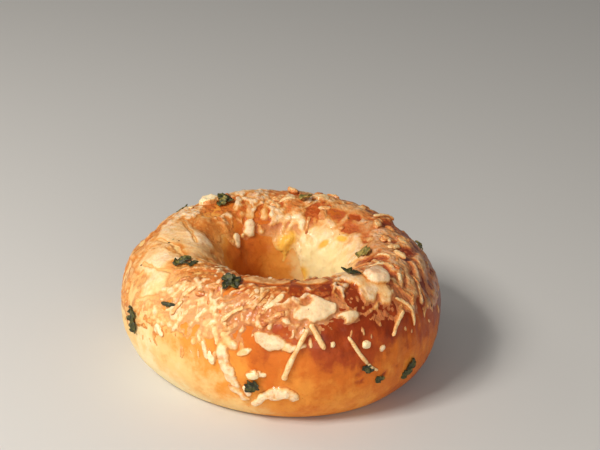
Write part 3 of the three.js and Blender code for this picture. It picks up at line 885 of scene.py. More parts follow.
def strandTree():
    # a flattened, slightly uneven rod along each line of edges, with rounded ends
    tree, given = startTree("grated strands", {
        "Flatness": ("Float", 0.75), "Unevenness": ("Float", 0.5 * mm), "Lump spacing": ("Float", 3 * mm),
        "Crumbliness": ("Float", 0.5 * mm), "Seed": ("Float", 0.0), "Material": ("Material", None)})
    line = addNode(tree, "GeometryNodeMeshToCurve", {"Mesh": given["Geometry"]}).outputs[0]
    line = addNode(tree, "GeometryNodeSetCurveNormal", {
        "Curve": line, "Normal": readAttribute(tree, "facing", "FLOAT_VECTOR")}, mode="FREE").outputs[0]
    scale = calculate(tree, "DIVIDE", 1.0, given["Lump spacing"])
    uneven, _ = noiseField(tree, positionOf(tree), scale, given["Seed"])
    radius = readAttribute(tree, "radius")
    swelling = calculate(tree, "MULTIPLY", uneven, given["Unevenness"])
    radius = calculate(tree, "ADD", radius, swelling)
    radius = calculate(tree, "MAXIMUM", radius, 0.1 * mm)
    circle = addNode(tree, "GeometryNodeCurvePrimitiveCircle", {"Resolution": 8, "Radius": 1.0})
    squeeze = vectorOf(tree, given["Flatness"], 1.0, 1.0)
    section = addNode(tree, "GeometryNodeTransform", {"Geometry": circle.outputs["Curve"], "Scale": squeeze})
    rod = addNode(tree, "GeometryNodeCurveToMesh", {
        "Curve": line, "Profile Curve": section.outputs[0], "Scale": radius, "Fill Caps": True}).outputs[0]
    rod = storeCrest(tree, rod)
    _, push = noiseField(tree, positionOf(tree), calculate(tree, "MULTIPLY", scale, 1.7), given["Seed"])
    rod = movePoints(tree, rod, scaleVector(tree, push, given["Crumbliness"]))
    return endTree(tree, rod, given["Material"])


def spun(tree, rotation, angle):
    # a rotation turned further about its own Z
    spin = addNode(tree, "FunctionNodeAxisAngleToRotation", {"Axis": (0, 0, 1), "Angle": angle}).outputs[0]
    return addNode(tree, "FunctionNodeRotateRotation", {"Rotation": rotation, "Rotate By": spin},
                   rotation_space="LOCAL").outputs[0]


def placedCopies(tree, given, shape):
    # one copy of the shape at each point, with its Z along "facing", turned by "spin" and as large as "size"
    facing = readAttribute(tree, "facing", "FLOAT_VECTOR")
    upright = addNode(tree, "FunctionNodeAlignRotationToVector", {"Vector": facing}, axis="Z").outputs[0]
    copies = addNode(tree, "GeometryNodeInstanceOnPoints", {
        "Points": given["Geometry"], "Instance": shape,
        "Rotation": spun(tree, upright, readAttribute(tree, "spin")),
        "Scale": readAttribute(tree, "size", "FLOAT_VECTOR")}).outputs[0]
    return addNode(tree, "GeometryNodeRealizeInstances", {"Geometry": copies}).outputs[0]


# Chunks. Those that stand out: around, over, (length, width, height), turn
chunks = {
    "named": [
        (-135, 78, (9, 6.5, 5.5), 40), (-10, 4, (4.6, 3.4, 2.4), 0),
        (31, 25, (3.6, 3.2, 2.8), 20), (-26, 10, (5, 2.8, 1.8), 75), (-50, 17, (5, 2.8, 1.8), 100),
    ],
    "count": 130,
    "seed": 8,
    "over": (34, 160, 80),           # lowest, highest and most usual
    "long": (2.5, 7.5),
    "slim": (0.45, 0.8),             # width and height as shares of the length
    "flat": (0.3, 0.5),
    "sunk": 0.08,                    # as a share of the height
    "share": [(-150, 0.3), (-95, 0.03), (-40, 0.06), (20, 0.1), (60, 0.6), (100, 0.8), (150, 0.4)],
    "shape": {"Lump spacing": 3.2 * mm, "Unevenness": 1.9 * mm, "Detail": 4},
}


def chunkTree():
    # lumpy melted balls, each with a seed of its own
    tree, given = startTree("cheese chunks", {
        "Lump spacing": ("Float", 3 * mm), "Unevenness": ("Float", 1 * mm), "Detail": ("Int", 3),
        "Material": ("Material", None)})
    ball = addNode(tree, "GeometryNodeMeshIcoSphere", {"Radius": 0.5, "Subdivisions": given["Detail"]})
    balls = placedCopies(tree, given, ball.outputs[0])
    place, seed = positionOf(tree), readAttribute(tree, "seed")
    scale = calculate(tree, "DIVIDE", 1.0, given["Lump spacing"])
    _, push = noiseField(tree, place, scale, seed)
    _, finePush = noiseField(tree, place, calculate(tree, "MULTIPLY", scale, 2.6), seed)
    push = calculateVector(tree, "ADD", push, scaleVector(tree, finePush, 0.4))
    lumpy = movePoints(tree, balls, scaleVector(tree, push, given["Unevenness"]))
    return endTree(tree, storeCrest(tree, lumpy), given["Material"])


# Herb flakes. Those that show: around, over, length, width, turn, how far it stands up and how yellow it is
herbs = {
    "named": [
        (-142, 88, 6.2, 4.7, 150, 0.4, 0.3), (-138, 92, 4.8, 3.6, 60, 0.5, 0.6),
        (170, 100, 6, 4.5, -60, 0.8, 1.0), (-62, 81, 6.5, 4.9, 20, 0.1, 0.3),
        (-57, 86, 4.5, 3.4, 10, 0.1, 0.0), (-27, 86, 6.6, 4.9, 200, 0.35, 0.1),
        (-25, 82, 5.4, 4.1, 110, 0.5, 0.2), (-28, 79, 5, 3.8, 60, 0.4, 0.0),
        (-49, 40, 6.5, 1.8, 150, 0.05, 0.0), (-66, 6, 7.5, 5.6, 80, 0.05, 0.2),
        (-67, 15, 5.5, 4.1, 60, 0.1, 0.1), (90, 119, 8.2, 4.8, -40, 0.1, 1.0),
        (38, 94, 6.5, 4.9, 180, 0.15, 0.1), (52, -8, 6.5, 4.9, 110, 0.05, 0.1),
        (50, -14, 5, 3.8, 90, 0.05, 0.4), (31, 6, 4.5, 3.4, 0, 0.1, 0.0),
        (-10, -7, 6.5, 4.9, 30, 0.2, 0.0), (36, -6, 3.5, 2.6, 40, 0.05, 0.2),
    ],
    "count": 9,                      # more of them on the back
    "seed": 21,
    "size": (4.0, 7.0),
    "around": (118, 248),
    "over": (8, 58),
    "slim": (0.5, 0.8),              # width as a share of the length
    "stand": (0.05, 0.4),
    "lift": 0.45,                    # the gap under a flake's middle
    "shape": {"Crumple": 0.42, "Thickness": 0.35 * mm},
}


def flakeTree():
    # crumpled leaves with a thickness: a lobed outline, crumpled in two sizes, then given its other side
    tree, given = startTree("herb flakes", {
        "Crumple": ("Float", 0.5), "Thickness": ("Float", 0.3 * mm), "Material": ("Material", None)})
    sheet = addNode(tree, "GeometryNodeMeshGrid", {
        "Size X": 1.0, "Size Y": 1.0, "Vertices X": 13, "Vertices Y": 9}).outputs["Mesh"]
    part = addNode(tree, "ShaderNodeSeparateXYZ", {"Vector": positionOf(tree)}).outputs
    # a leaf's width along its length, with teeth
    fromMiddle = calculate(tree, "ABSOLUTE", calculate(tree, "MULTIPLY", part["X"], 1.96))
    width = calculate(tree, "SUBTRACT", 1.0, calculate(tree, "POWER", fromMiddle, 2.2))
    width = calculate(tree, "POWER", width, 0.6)
    teeth = calculate(tree, "SINE", calculate(tree, "MULTIPLY", part["X"], 21.0))
    teeth = calculate(tree, "MULTIPLY_ADD", teeth, 0.16, 0.84)
    y = calculate(tree, "MULTIPLY", part["Y"], calculate(tree, "MULTIPLY", width, teeth))
    outline = vectorOf(tree, part["X"], y, 0.0)
    leaf = addNode(tree, "GeometryNodeSetPosition", {"Geometry": sheet, "Position": outline}).outputs[0]
    leaf = storeAttribute(tree, leaf, "leafPlace", outline, "FLOAT_VECTOR")
    leaves = placedCopies(tree, given, leaf)
    # folds
    local = readAttribute(tree, "leafPlace", "FLOAT_VECTOR")
    seed = readAttribute(tree, "seed")
    reach = readAttribute(tree, "reach")
    _, bigFold = noiseField(tree, local, 2.6, seed, 0.0)
    _, smallFold = noiseField(tree, local, 8.0, seed, 1.0)
    fold = calculateVector(tree, "ADD", bigFold, scaleVector(tree, smallFold, 0.45))
    fold = scaleVector(tree, scaleVector(tree, fold, given["Crumple"]), reach)
    # one end stands up
    x = addNode(tree, "ShaderNodeSeparateXYZ", {"Vector": local}).outputs["X"]
    end = calculate(tree, "MAXIMUM", calculate(tree, "ADD", x, 0.4), 0.0)
    end = calculate(tree, "POWER", end, 1.6)
    rise = calculate(tree, "MULTIPLY", calculate(tree, "MULTIPLY", end, readAttribute(tree, "stand")), reach)
    lift = scaleVector(tree, readAttribute(tree, "facing", "FLOAT_VECTOR"), rise)
    leaves = movePoints(tree, leaves, calculateVector(tree, "ADD", fold, lift))
    other = addNode(tree, "GeometryNodeExtrudeMesh", {
        "Mesh": leaves, "Offset Scale": given["Thickness"], "Individual": False}).outputs[0]
    back = addNode(tree, "GeometryNodeFlipFaces", {"Mesh": leaves}).outputs[0]
    both = tree.nodes.new("GeometryNodeJoinGeometry")
    tree.links.new(other, both.inputs[0])
    tree.links.new(back, both.inputs[0])
    closed = addNode(tree, "GeometryNodeMergeByDistance", {
        "Geometry": both.outputs[0], "Distance": 0.01 * mm})
    return endTree(tree, closed.outputs[0], given["Material"])


# Herb dust: specks to the square metre where it is thickest, and their sizes
specks = {"Density": 30000.0, "Smallest": 0.25 * mm, "Largest": 0.8 * mm, "Seed": 3}


def speckTree():
    # tiny crumbs scattered over a surface by its "specks" attribute
    tree, given = startTree("fine specks", {
        "Density": ("Float", 20000.0), "Smallest": ("Float", 0.3 * mm), "Largest": ("Float", 0.9 * mm),
        "Seed": ("Int", 3), "Material": ("Material", None)})
    density = calculate(tree, "MULTIPLY", given["Density"], readAttribute(tree, "specks"))
    points = addNode(tree, "GeometryNodeDistributePointsOnFaces", {
        "Mesh": given["Geometry"], "Density": density, "Seed": given["Seed"]}).outputs
    size = addNode(tree, "FunctionNodeRandomValue", {
        2: given["Smallest"], 3: given["Largest"], "Seed": given["Seed"]}, data_type="FLOAT").outputs[1]
    long, high = calculate(tree, "MULTIPLY", size, 1.6), calculate(tree, "MULTIPLY", size, 0.5)
    angle = addNode(tree, "FunctionNodeRandomValue", {
        2: 0.0, 3: 6.28, "Seed": 7}, data_type="FLOAT").outputs[1]
    crumb = addNode(tree, "GeometryNodeMeshIcoSphere", {"Radius": 0.5, "Subdivisions": 1}).outputs[0]
    crumbs = addNode(tree, "GeometryNodeInstanceOnPoints", {
        "Points": points["Points"], "Instance": crumb, "Rotation": spun(tree, points["Rotation"], angle),
        "Scale": vectorOf(tree, long, size, high)}).outputs[0]
    return endTree(tree, crumbs, given["Material"])


def strandLines():
    # each strand: its width, around and over along it, how toasted it is and how far it has sunk in
    rule = strands
    dice = random.Random(rule["seed"])
    t = (1 + np.sin(np.linspace(-0.5, 0.5, rule["points"]) * math.pi)) / 2    # closer together at both ends
    lines = []
    for width, *places in rule["named"]:
        # a smooth curve through the given places
        steps = np.arange(len(places))
        us, vs = (np.polyval(np.polyfit(steps, side, steps[-1]), t * steps[-1]) for side in zip(*places))
        lines.append((width, us, vs, rule["namedToast"], rule["namedSunk"]))
    for k in range(rule["count"]):
        around = spreadRound(k, dice.uniform(-7, 7))
        over = dice.triangular(*rule["over"])
        if over < byAngle(melted["edgeOuter"], around) + 3 or dice.random() > byAngle(rule["share"], around):
            continue
        if abs(around) < 35 and over > 82 or over > 122 and not 90 < around < 178:
            continue
        turn = drawTurn(dice, rule)
        if over > rule["wallFrom"]:
            turn = dice.gauss(*rule["wallTurn"])
        length, bend = dice.uniform(*rule["length"]), dice.gauss(0, rule["bend"])
        us, vs = shredPlaces(around, over, length, turn, bend, t - 0.5)
        sunk = rule["crispSunk"] if dice.random() < rule["crisp"] else dice.uniform(*rule["sunk"])
        if not keptClear(us[::3], vs[::3]):
            lines.append((dice.uniform(*rule["width"]), us, vs, dice.random(), sunk))
    return lines


def makeStrands(field, lines):
    dice = np.random.default_rng(strands["seed"])
    points, edges, radius, facing, tone = [], [], [], [], []
    for width, us, vs, toasted, sunk in lines:
        top, normal = field.topAt(us, vs)
        base = doughBase(us, vs)[0]
        rise = np.linalg.norm(top - base, axis=1)
        rise = np.maximum(rise, np.convolve(np.pad(rise, 1, mode="edge"), [0.3, 0.4, 0.3], "valid"))
        start = len(points)
        line = base + normal * (rise + width * (0.36 - 0.72 * sunk))[:, None]
        points.extend(line)
        edges.extend((start + i, start + i + 1) for i in range(len(us) - 1))
        # round ends, and a width that wanders
        along = np.concatenate([[0], np.cumsum(np.linalg.norm(np.diff(line, axis=0), axis=1))])
        toEnd = np.clip(np.minimum(along, along[-1] - along) / (width * 0.55), 0, 1)
        drift = np.convolve(dice.uniform(-1, 1, len(us) + 2), [0.35, 0.3, 0.35], "valid")
        wander = 1 + strands["wander"] * max(1, width / 2) * drift
        radius.extend(width / 2 * mm * np.sqrt(1 - (1 - toEnd) ** 2 * 0.93) * wander)
        facing.extend(normal)
        tone.extend([toasted] * len(us))
    guide = makeGuide("strandLines", points, edges, {
        "radius": np.array(radius), "facing": np.array(facing), "tone": np.array(tone)})
    return growPiece("cheese_strands", guide, strandTree(), {
        **strands["shape"], "Material": strandMaterial()})


def scatterPoints(places, field, name, extra):
    # points on the cheese with what placedCopies reads: facing, spin and size
    points, facing = [], []
    for around, over, lift in places:
        top, normal = field.topAt(around, over, lift)
        points.append(top)
        facing.append(normal)
    return makeGuide(name, points, [], {"facing": np.array(facing), **extra})


def makeChunks(field):
    dice = random.Random(chunks["seed"])
    rows = list(chunks["named"])
    for k in range(chunks["count"]):
        long = dice.uniform(*chunks["long"])
        around, over = spreadRound(k, 40), dice.triangular(*chunks["over"])
        size = (long, long * dice.uniform(*chunks["slim"]), long * dice.uniform(*chunks["flat"]))
        row = (around, over, size, dice.uniform(0, 180))
        inHole = abs(around) > 80 and over > 122
        if dice.random() < byAngle(chunks["share"], around) and not inHole and not keptClear(around, over):
            rows.append(row)
    places = [(around, over, -chunks["sunk"] * size[2]) for around, over, size, turn in rows]
    plain = len(chunks["named"])
    guide = scatterPoints(places, field, "chunkPoints", {
        "size": np.array([size for *_, size, turn in rows]) * mm,
        "spin": np.radians([row[3] for row in rows]),
        "seed": np.arange(len(rows)) * 1.7,
        "tone": np.array([0.0] * plain + [dice.uniform(0.1, 0.9) for _ in rows[plain:]])})
    return growPiece("cheese_chunks", guide, chunkTree(), {**chunks["shape"], "Material": strandMaterial()})


def makeHerbs(field):
    dice = random.Random(herbs["seed"])
    rows = list(herbs["named"])
    low, high = herbs["around"]
    for k in range(herbs["count"]):
        around = low + (high - low) * k / herbs["count"] + dice.uniform(-6, 6)
        long = dice.uniform(*herbs["size"])
        rows.append((around, dice.uniform(*herbs["over"]), long, long * dice.uniform(*herbs["slim"]),
                     dice.uniform(0, 360), dice.uniform(*herbs["stand"]), dice.random()))
    places = [(around, over, herbs["lift"]) for around, over, *_ in rows]
    size, wide = np.array([row[2:4] for row in rows]).T * mm
    guide = scatterPoints(places, field, "herbPoints", {
        "size": np.stack([size, wide, size], axis=1),
        "spin": np.radians([row[4] for row in rows]),
        "seed": np.arange(len(rows)) * 2.3,
        "reach": np.minimum(size, wide * 1.3),
        "stand": np.array([row[5] for row in rows]),
        "tone": np.array([row[6] for row in rows])})
    return growPiece("herb_flakes", guide, flakeTree(), {**herbs["shape"], "Material": herbMaterial()})


def makeSpecks(surface):
    # dark green and brown dust of the herbs, grown on a copy of the cheese
    copy = bpy.data.objects.new("speckGround", surface.data.copy())
    scene.collection.objects.link(copy)
    places = np.zeros(len(copy.data.vertices) * 3, np.float32)
    copy.data.vertices.foreach_get("co", places)
    places = places.reshape(-1, 3) / mm
    amount = smoothStep(0.15, 0.8, noiseAt(places, 9, 61)) * smoothStep(3, 8, places[:, 2])
    thickness = np.zeros(len(places), np.float32)
    copy.data.attributes["thickness"].data.foreach_get("value", thickness)
    amount = amount * (thickness > 0.05)
    layer = copy.data.attributes.new("specks", "FLOAT", "POINT")
    layer.data.foreach_set("value", amount.astype(np.float32))
    return growPiece("herb_specks", copy, speckTree(), {**specks, "Material": speckMaterial()})


def colour(red, green, blue):
    # from a screen's 0 to 255 to the shader's own numbers
    def straight(c):
        c /= 255
        return c / 12.92 if c <= 0.04045 else ((c + 0.055) / 1.055) ** 2.4
    return (straight(red), straight(green), straight(blue), 1.0)


def startMaterial(name, **constants):
    material = bpy.data.materials.new(name)
    material.use_nodes = True
    shader = material.node_tree.nodes["Principled BSDF"]
    for label, value in constants.items():
        shader.inputs[label.replace("_", " ")].default_value = value
    return material, material.node_tree, shader


def shaderGroup(name, inputs, output):
    group = bpy.data.node_groups.new(name, "ShaderNodeTree")
    for label, value in inputs.items():
        group.interface.new_socket(label, in_out="INPUT", socket_type="NodeSocketFloat").default_value = value
    group.interface.new_socket(output, in_out="OUTPUT", socket_type="NodeSocketFloat")
    return group, group.nodes.new("NodeGroupInput").outputs


def rangeOf(tree, value, fromMin, fromMax, toMin, toMax, kind="LINEAR"):
    ends = {"Value": value, "From Min": fromMin, "From Max": fromMax, "To Min": toMin, "To Max": toMax}
    return addNode(tree, "ShaderNodeMapRange", ends, interpolation_type=kind).outputs[0]


def shadeAttribute(tree, name):
    return addNode(tree, "ShaderNodeAttribute", attribute_name=name).outputs["Fac"]


def ovenSpotsGroup():
    # soft-edged patches where the oven has browned the surface
    group, given = shaderGroup("oven spots", {"Scale": 90.0, "Share": 0.5, "Softness": 0.12}, "Mask")
    where = addNode(group, "ShaderNodeTexCoord").outputs["Object"]
    cloud = addNode(group, "ShaderNodeTexNoise", {
        "Vector": where, "Scale": given["Scale"], "Detail": 5.0, "Roughness": 0.62}).outputs["Fac"]
    low = calculate(group, "SUBTRACT", given["Share"], given["Softness"])
    high = calculate(group, "ADD", given["Share"], given["Softness"])
    mask = rangeOf(group, cloud, low, high, 0.0, 1.0, "SMOOTHSTEP")
    addNode(group, "NodeGroupOutput", {"Mask": mask})
    return group


def fineGrainGroup():
    # the small relief of a baked surface, as a height
    group, given = shaderGroup("fine grain", {"Scale": 700.0, "Blisters": 0.5}, "Height")
    where = addNode(group, "ShaderNodeTexCoord").outputs["Object"]
    place = {"Vector": where, "Scale": given["Scale"]}
    grain = addNode(group, "ShaderNodeTexNoise", {**place, "Detail": 3.0}).outputs["Fac"]
    cells = addNode(group, "ShaderNodeTexVoronoi", place, feature="SMOOTH_F1").outputs["Distance"]
    blister = calculate(group, "MULTIPLY", calculate(group, "SUBTRACT", 0.6, cells), given["Blisters"])
    addNode(group, "NodeGroupOutput", {"Height": calculate(group, "ADD", grain, blister)})
    return group


ovenSpots = ovenSpotsGroup()
fineGrain = fineGrainGroup()


def useGroup(tree, group, **values):
    node = tree.nodes.new("ShaderNodeGroup")
    node.node_tree = group
    for label, value in values.items():
        node.inputs[label].default_value = value
    return node.outputs[0]


def rampOf(tree, factor, stops):
    node = addNode(tree, "ShaderNodeValToRGB", {"Fac": factor})
    node.color_ramp.interpolation = "EASE"
    elements = node.color_ramp.elements
    while len(elements) < len(stops):
        elements.new(0.5)
    for element, (position, value) in zip(elements, stops):
        element.position = position
        element.color = value
    return node.outputs["Color"]


def mixColours(tree, factor, a, b):
    node = addNode(tree, "ShaderNodeMix", {0: factor, 6: a, 7: b}, data_type="RGBA")
    return node.outputs[2]


def bumpOf(tree, height, strength, distance):
    node = addNode(tree, "ShaderNodeBump", {"Height": height, "Strength": strength, "Distance": distance})
    return node.outputs[0]


def doughMaterial():
    material, tree, shader = startMaterial(
        "glossy baked dough", Coat_Roughness=0.14, Coat_IOR=1.45, IOR=1.3, Specular_IOR_Level=0.25,
        Subsurface_Weight=0.12, Subsurface_Scale=0.002, Subsurface_Radius=(1.0, 0.45, 0.2))
    bakeAndShade = shadeAttribute(tree, "bakeAndShade")
    spots = useGroup(tree, ovenSpots, Scale=120.0, Share=0.52, Softness=0.16)
    fine = useGroup(tree, ovenSpots, Scale=420.0, Share=0.55, Softness=0.12)
    baked = calculate(tree, "MULTIPLY_ADD", spots, 0.10, bakeAndShade)
    baked = calculate(tree, "MULTIPLY_ADD", fine, 0.05, baked)
    skin = rampOf(tree, baked, [
        (0.0, colour(246, 224, 174)), (0.2, colour(241, 198, 130)), (0.4, colour(231, 150, 62)),
        (0.6, colour(210, 112, 38)), (0.8, colour(170, 72, 28)), (1.0, colour(138, 50, 20))])
    # pinprick pores
    pores = useGroup(tree, ovenSpots, Scale=1500.0, Share=0.69, Softness=0.03)
    skin = mixColours(tree, calculate(tree, "MULTIPLY", pores, 0.5), skin, colour(120, 56, 24))
    tree.links.new(skin, shader.inputs["Base Color"])
    rough = rangeOf(tree, bakeAndShade, 0.0, 1.0, 0.55, 0.30)
    tree.links.new(calculate(tree, "MULTIPLY_ADD", fine, 0.08, rough), shader.inputs["Roughness"])
    tree.links.new(calculate(tree, "MULTIPLY", bakeAndShade, 0.2), shader.inputs["Coat Weight"])
    grain = calculate(tree, "ADD", useGroup(tree, fineGrain, Scale=420.0, Blisters=0.8),
                      calculate(tree, "MULTIPLY", useGroup(tree, fineGrain, Scale=1200.0, Blisters=0.6), 0.4))
    tree.links.new(bumpOf(tree, grain, 0.6, 0.3 * mm), shader.inputs["Normal"])
    return material


def cheeseMaterial():
    # a thin film takes the skin's own colour, thick cheese stays cream and its grooves are darker, partly
    # toasted and partly painted shade
    material, tree, shader = startMaterial(
        "melted cheese", Coat_Roughness=0.12, IOR=1.3, Specular_IOR_Level=0.35,
        Subsurface_Weight=0.15, Subsurface_Scale=0.002, Subsurface_Radius=(1.0, 0.6, 0.3))
    cream, thickness, bakeAndShade, toast, brownAndShade, yolk = (
        shadeAttribute(tree, name) for name in ("cream", "thickness", "bakeAndShade", "toast", "brownAndShade", "yolk"))
    scorch, calm, golden, amber, gloss = (
        shadeAttribute(tree, name) for name in ("scorch", "calm", "golden", "amber", "gloss"))
    fine = useGroup(tree, ovenSpots, Scale=700.0, Share=0.5, Softness=0.18)
    depth = calculate(tree, "SUBTRACT", cream, calculate(tree, "MULTIPLY", toast, 0.14))
    depth = calculate(tree, "SUBTRACT", depth, calculate(tree, "MULTIPLY", fine, 0.13))
    skin = rampOf(tree, bakeAndShade, [
        (0.0, colour(248, 212, 146)), (0.25, colour(240, 178, 94)), (0.45, colour(214, 122, 46)),
        (0.65, colour(190, 84, 30)), (1.0, colour(150, 54, 20))])
    body = rampOf(tree, depth, [
        (0.0, colour(206, 116, 44)), (0.14, colour(224, 146, 66)), (0.34, colour(236, 172, 97)),
        (0.6, colour(244, 198, 136)), (1.0, colour(250, 222, 180))])
    cover = rangeOf(tree, depth, -0.12, 0.06, 0.0, 1.0, "SMOOTHSTEP")
    body = mixColours(tree, cover, skin, body)
    spots = useGroup(tree, ovenSpots, Scale=260.0, Share=0.60, Softness=0.10)
    toasted = calculate(tree, "MULTIPLY", spots, calculate(tree, "MULTIPLY_ADD", toast, 0.6, 0.15))
    body = mixColours(tree, toasted, body, colour(205, 112, 56))
    # scorched places, browned places that also carry painted shade, golden and yellow places, the first and
    # the third where the cheese is thin
    thin = rangeOf(tree, cream, 0.3, 0.75, 0.75, 0.15)
    body = mixColours(tree, calculate(tree, "MULTIPLY", scorch, thin), body, colour(206, 104, 44))
    share = calculate(tree, "MULTIPLY_ADD", calm, -0.35, 0.5)
    # mixes in brown for the browned places and for painted shade on the right side
    body = mixColours(tree, calculate(tree, "MULTIPLY", brownAndShade, share), body, colour(180, 96, 58))
    body = mixColours(tree, calculate(tree, "MULTIPLY", golden, thin), body, colour(182, 86, 24))
    body = mixColours(tree, calculate(tree, "MULTIPLY", yolk, 0.85), body, colour(255, 233, 168))
    body = mixColours(tree, calculate(tree, "MULTIPLY", amber, 0.9), body, colour(250, 186, 62))
    # specks of gold and brown, finer than the relief
    crumbs = useGroup(tree, ovenSpots, Scale=900.0, Share=0.56, Softness=0.08)
    fewer = calculate(tree, "MULTIPLY_ADD", yolk, -0.3, calculate(tree, "MULTIPLY_ADD", calm, -0.15, 0.4))
    fewer = calculate(tree, "MAXIMUM", fewer, 0.0)
    body = mixColours(tree, calculate(tree, "MULTIPLY", crumbs, fewer), body, colour(214, 124, 52))
    tree.links.new(body, shader.inputs["Base Color"])
    rough = rangeOf(tree, thickness, 0.0, 1.0, 0.26, 0.42)
    rough = calculate(tree, "ADD", rough, calculate(tree, "MULTIPLY_ADD", gloss, -0.2, 0.2))
    tree.links.new(rough, shader.inputs["Roughness"])
    coat = rangeOf(tree, thickness, 0.0, 1.0, 0.45, 0.3)
    coat = calculate(tree, "MULTIPLY", coat, calculate(tree, "MULTIPLY_ADD", yolk, -0.5, 1.0))
    coat = calculate(tree, "MULTIPLY", coat, gloss)
    tree.links.new(coat, shader.inputs["Coat Weight"])
    grain = calculate(tree, "ADD", useGroup(tree, fineGrain, Scale=520.0, Blisters=1.2),
                      calculate(tree, "MULTIPLY", useGroup(tree, fineGrain, Scale=1300.0, Blisters=1.0), 0.5))
    grain = calculate(tree, "MULTIPLY", grain, calculate(tree, "MULTIPLY_ADD", calm, -0.65, 1.0))
    grain = calculate(tree, "MULTIPLY", grain, calculate(tree, "MULTIPLY_ADD", yolk, -0.6, 1.0))
    tree.links.new(bumpOf(tree, grain, 0.9, 0.5 * mm), shader.inputs["Normal"])
    return material


def strandMaterial():
    # crisp shreds and chunks: cream, with toasted backs on some, and painted shade darkening the flanks of
    # all
    found = bpy.data.materials.get("grated cheese")
    if found:
        return found
    material, tree, shader = startMaterial(
        "grated cheese", Roughness=0.42, IOR=1.35, Coat_Weight=0.3, Coat_Roughness=0.15,
        Subsurface_Weight=0.2, Subsurface_Scale=0.0025, Subsurface_Radius=(1.0, 0.65, 0.35))
    tone = shadeAttribute(tree, "tone")
    spots = useGroup(tree, ovenSpots, Scale=380.0, Share=0.5, Softness=0.12)
    # painted shade: the flanks of every strand and chunk are darkened towards toasted brown
    flankShade = rangeOf(tree, shadeAttribute(tree, "crest"), 0.75, 0.1, 0.0, 1.0)
    toasted = calculate(tree, "MULTIPLY", calculate(tree, "MULTIPLY_ADD", spots, 0.75, 0.3), tone)
    toasted = calculate(tree, "MULTIPLY_ADD", flankShade, 0.5, toasted)
    crumbs = useGroup(tree, ovenSpots, Scale=900.0, Share=0.54, Softness=0.1)
    crumbShare = calculate(tree, "MULTIPLY_ADD", tone, 0.3, 0.05)
    toasted = calculate(tree, "MULTIPLY_ADD", crumbs, crumbShare, toasted)
    body = rampOf(tree, toasted, [
        (0.0, colour(254, 228, 182)), (0.12, colour(248, 206, 148)), (0.3, colour(234, 172, 106)),
        (0.55, colour(218, 140, 72)), (1.0, colour(184, 96, 44))])
    tree.links.new(body, shader.inputs["Base Color"])
    grain = useGroup(tree, fineGrain, Scale=1000.0, Blisters=0.8)
    tree.links.new(bumpOf(tree, grain, 0.7, 0.35 * mm), shader.inputs["Normal"])
    return material


def herbMaterial():
    material, tree, shader = startMaterial("baked herb", Roughness=0.45, IOR=1.45)
    tone = shadeAttribute(tree, "tone")
    spots = useGroup(tree, ovenSpots, Scale=600.0, Share=0.52, Softness=0.1)
    mixed = calculate(tree, "MULTIPLY_ADD", tone, 0.6, calculate(tree, "MULTIPLY", spots, 0.5))
    body = rampOf(tree, mixed, [
        (0.0, colour(42, 43, 23)), (0.4, colour(70, 71, 32)), (0.75, colour(126, 114, 50)),
        (1.0, colour(178, 154, 78))])
    tree.links.new(body, shader.inputs["Base Color"])
    grain = useGroup(tree, fineGrain, Scale=900.0, Blisters=0.6)
    tree.links.new(bumpOf(tree, grain, 0.9, 0.5 * mm), shader.inputs["Normal"])
    return material


def speckMaterial():
    material, tree, shader = startMaterial("herb dust", Roughness=0.7)
    spots = useGroup(tree, ovenSpots, Scale=200.0, Share=0.5, Softness=0.1)
    body = mixColours(tree, spots, colour(52, 54, 30), colour(110, 62, 30))
    tree.links.new(body, shader.inputs["Base Color"])
    return material


# The photograph's view of the bagel, in its 600 by 450 pixels
view = {
    "frameWidth": 600,
    "middlePixel": (300, 225),
    "bagelPixel": (287.7, 302.5),    # where the ring's middle, 20 mm up, shows
    "middleHeight": 20.0,
    "distance": 520.0,
    "pixelsPerMm": 2.76,
    "elevation": 27.7,
    "roll": 2.5,
    "sensor": 36.0,
}


def makeCamera():
    focalPixels = view["distance"] * view["pixelsPerMm"]
    data = bpy.data.cameras.new("photoCamera")
    data.sensor_width = view["sensor"]
    data.lens = view["sensor"] * focalPixels / view["frameWidth"]
    data.clip_start = 0.01
    camera = bpy.data.objects.new("photoCamera", data)
    scene.collection.objects.link(camera)
    elevation = math.radians(view["elevation"])
    target = Vector((*ring["centre"], view["middleHeight"])) * mm
    camera.location = target + Vector((0, -math.cos(elevation), math.sin(elevation))) * view["distance"] * mm
    aimed = (target - camera.location).to_track_quat("-Z", "Y")
    right = (view["middlePixel"][0] - view["bagelPixel"][0]) / focalPixels
    up = (view["bagelPixel"][1] - view["middlePixel"][1]) / focalPixels
    aimed = (aimed @ Quaternion((1, 0, 0), math.atan(up)) @ Quaternion((0, 1, 0), -math.atan(right))
             @ Quaternion((0, 0, 1), math.radians(view["roll"])))
    camera.rotation_mode = "QUATERNION"
    camera.rotation_quaternion = aimed
    scene.camera = camera


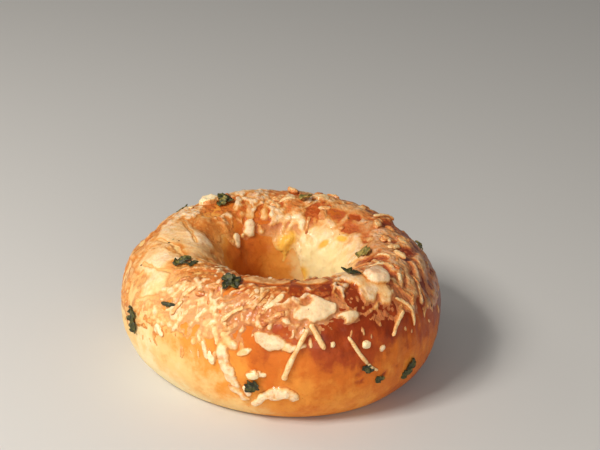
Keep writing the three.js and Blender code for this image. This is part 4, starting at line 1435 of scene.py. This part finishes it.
# A soft key from the left with a small lamp beside it for glints, a weak lamp for the left rim, and a fill:
# azimuth, elevation, distance and size in metres, watts and tint
lamps = {
    "key": (-50, 43, 0.75, (0.26, 0.2), 4.4, (1.0, 0.95, 0.88)),
    "glint": (-58, 50, 0.75, (0.04, 0.04), 0.45, (1.0, 0.97, 0.92)),
    "rim": (-112, 30, 0.9, (0.3, 0.3), 0.8, (1.0, 0.94, 0.86)),
    "fill": (8, 12, 1.0, (0.7, 0.3), 3.6, (1.0, 0.94, 0.86)),
}
floorHalf = 3000    # mm from the middle of the floor to its sides


def areaLight(name, azimuth, elevation, distance, size, power, tint):
    data = bpy.data.lights.new(name, "AREA")
    data.shape = "RECTANGLE"
    data.size, data.size_y = size
    data.energy = power
    data.color = tint
    lamp = bpy.data.objects.new(name, data)
    scene.collection.objects.link(lamp)
    a, e = math.radians(azimuth), math.radians(elevation)
    towards = Vector((math.sin(a) * math.cos(e), -math.cos(a) * math.cos(e), math.sin(e)))
    lamp.location = Vector((0, 0, 0.02)) + towards * distance
    lamp.rotation_euler = towards.to_track_quat("Z", "Y").to_euler()


def makeStage():
    corners = [(x * floorHalf, y * floorHalf, 0) for x, y in ((-1, -1), (1, -1), (1, 1), (-1, 1))]
    floor = newMesh("floor", corners, [(0, 1, 2, 3)])
    material, _, shader = startMaterial("pale floor", Roughness=0.7)
    shader.inputs["Base Color"].default_value = (0.66, 0.65, 0.63, 1)
    floor.data.materials.append(material)
    world = bpy.data.worlds.new("studio")
    world.use_nodes = True
    background = world.node_tree.nodes["Background"]
    background.inputs["Color"].default_value = (1.0, 0.98, 0.95, 1)
    background.inputs["Strength"].default_value = 0.2
    scene.world = world
    for name, values in lamps.items():
        areaLight(name, *values)
    scene.view_settings.view_transform = "Standard"


makeCamera()
makeStage()
print("camera, floor and lights are in place")
crust = makeDough()
print("dough", len(crust.data.polygons), "faces")
lines = strandLines()
field = CheeseField(lines)
cheese = makeMeltedCheese(field)
print("melted cheese", len(cheese.data.polygons), "faces")
pieces = [crust, cheese, makeStrands(field, lines), makeChunks(field), makeHerbs(field), makeSpecks(cheese)]
for piece in pieces:
    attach(piece, "root")
    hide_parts("bagel")
bpy.context.view_layer.update()
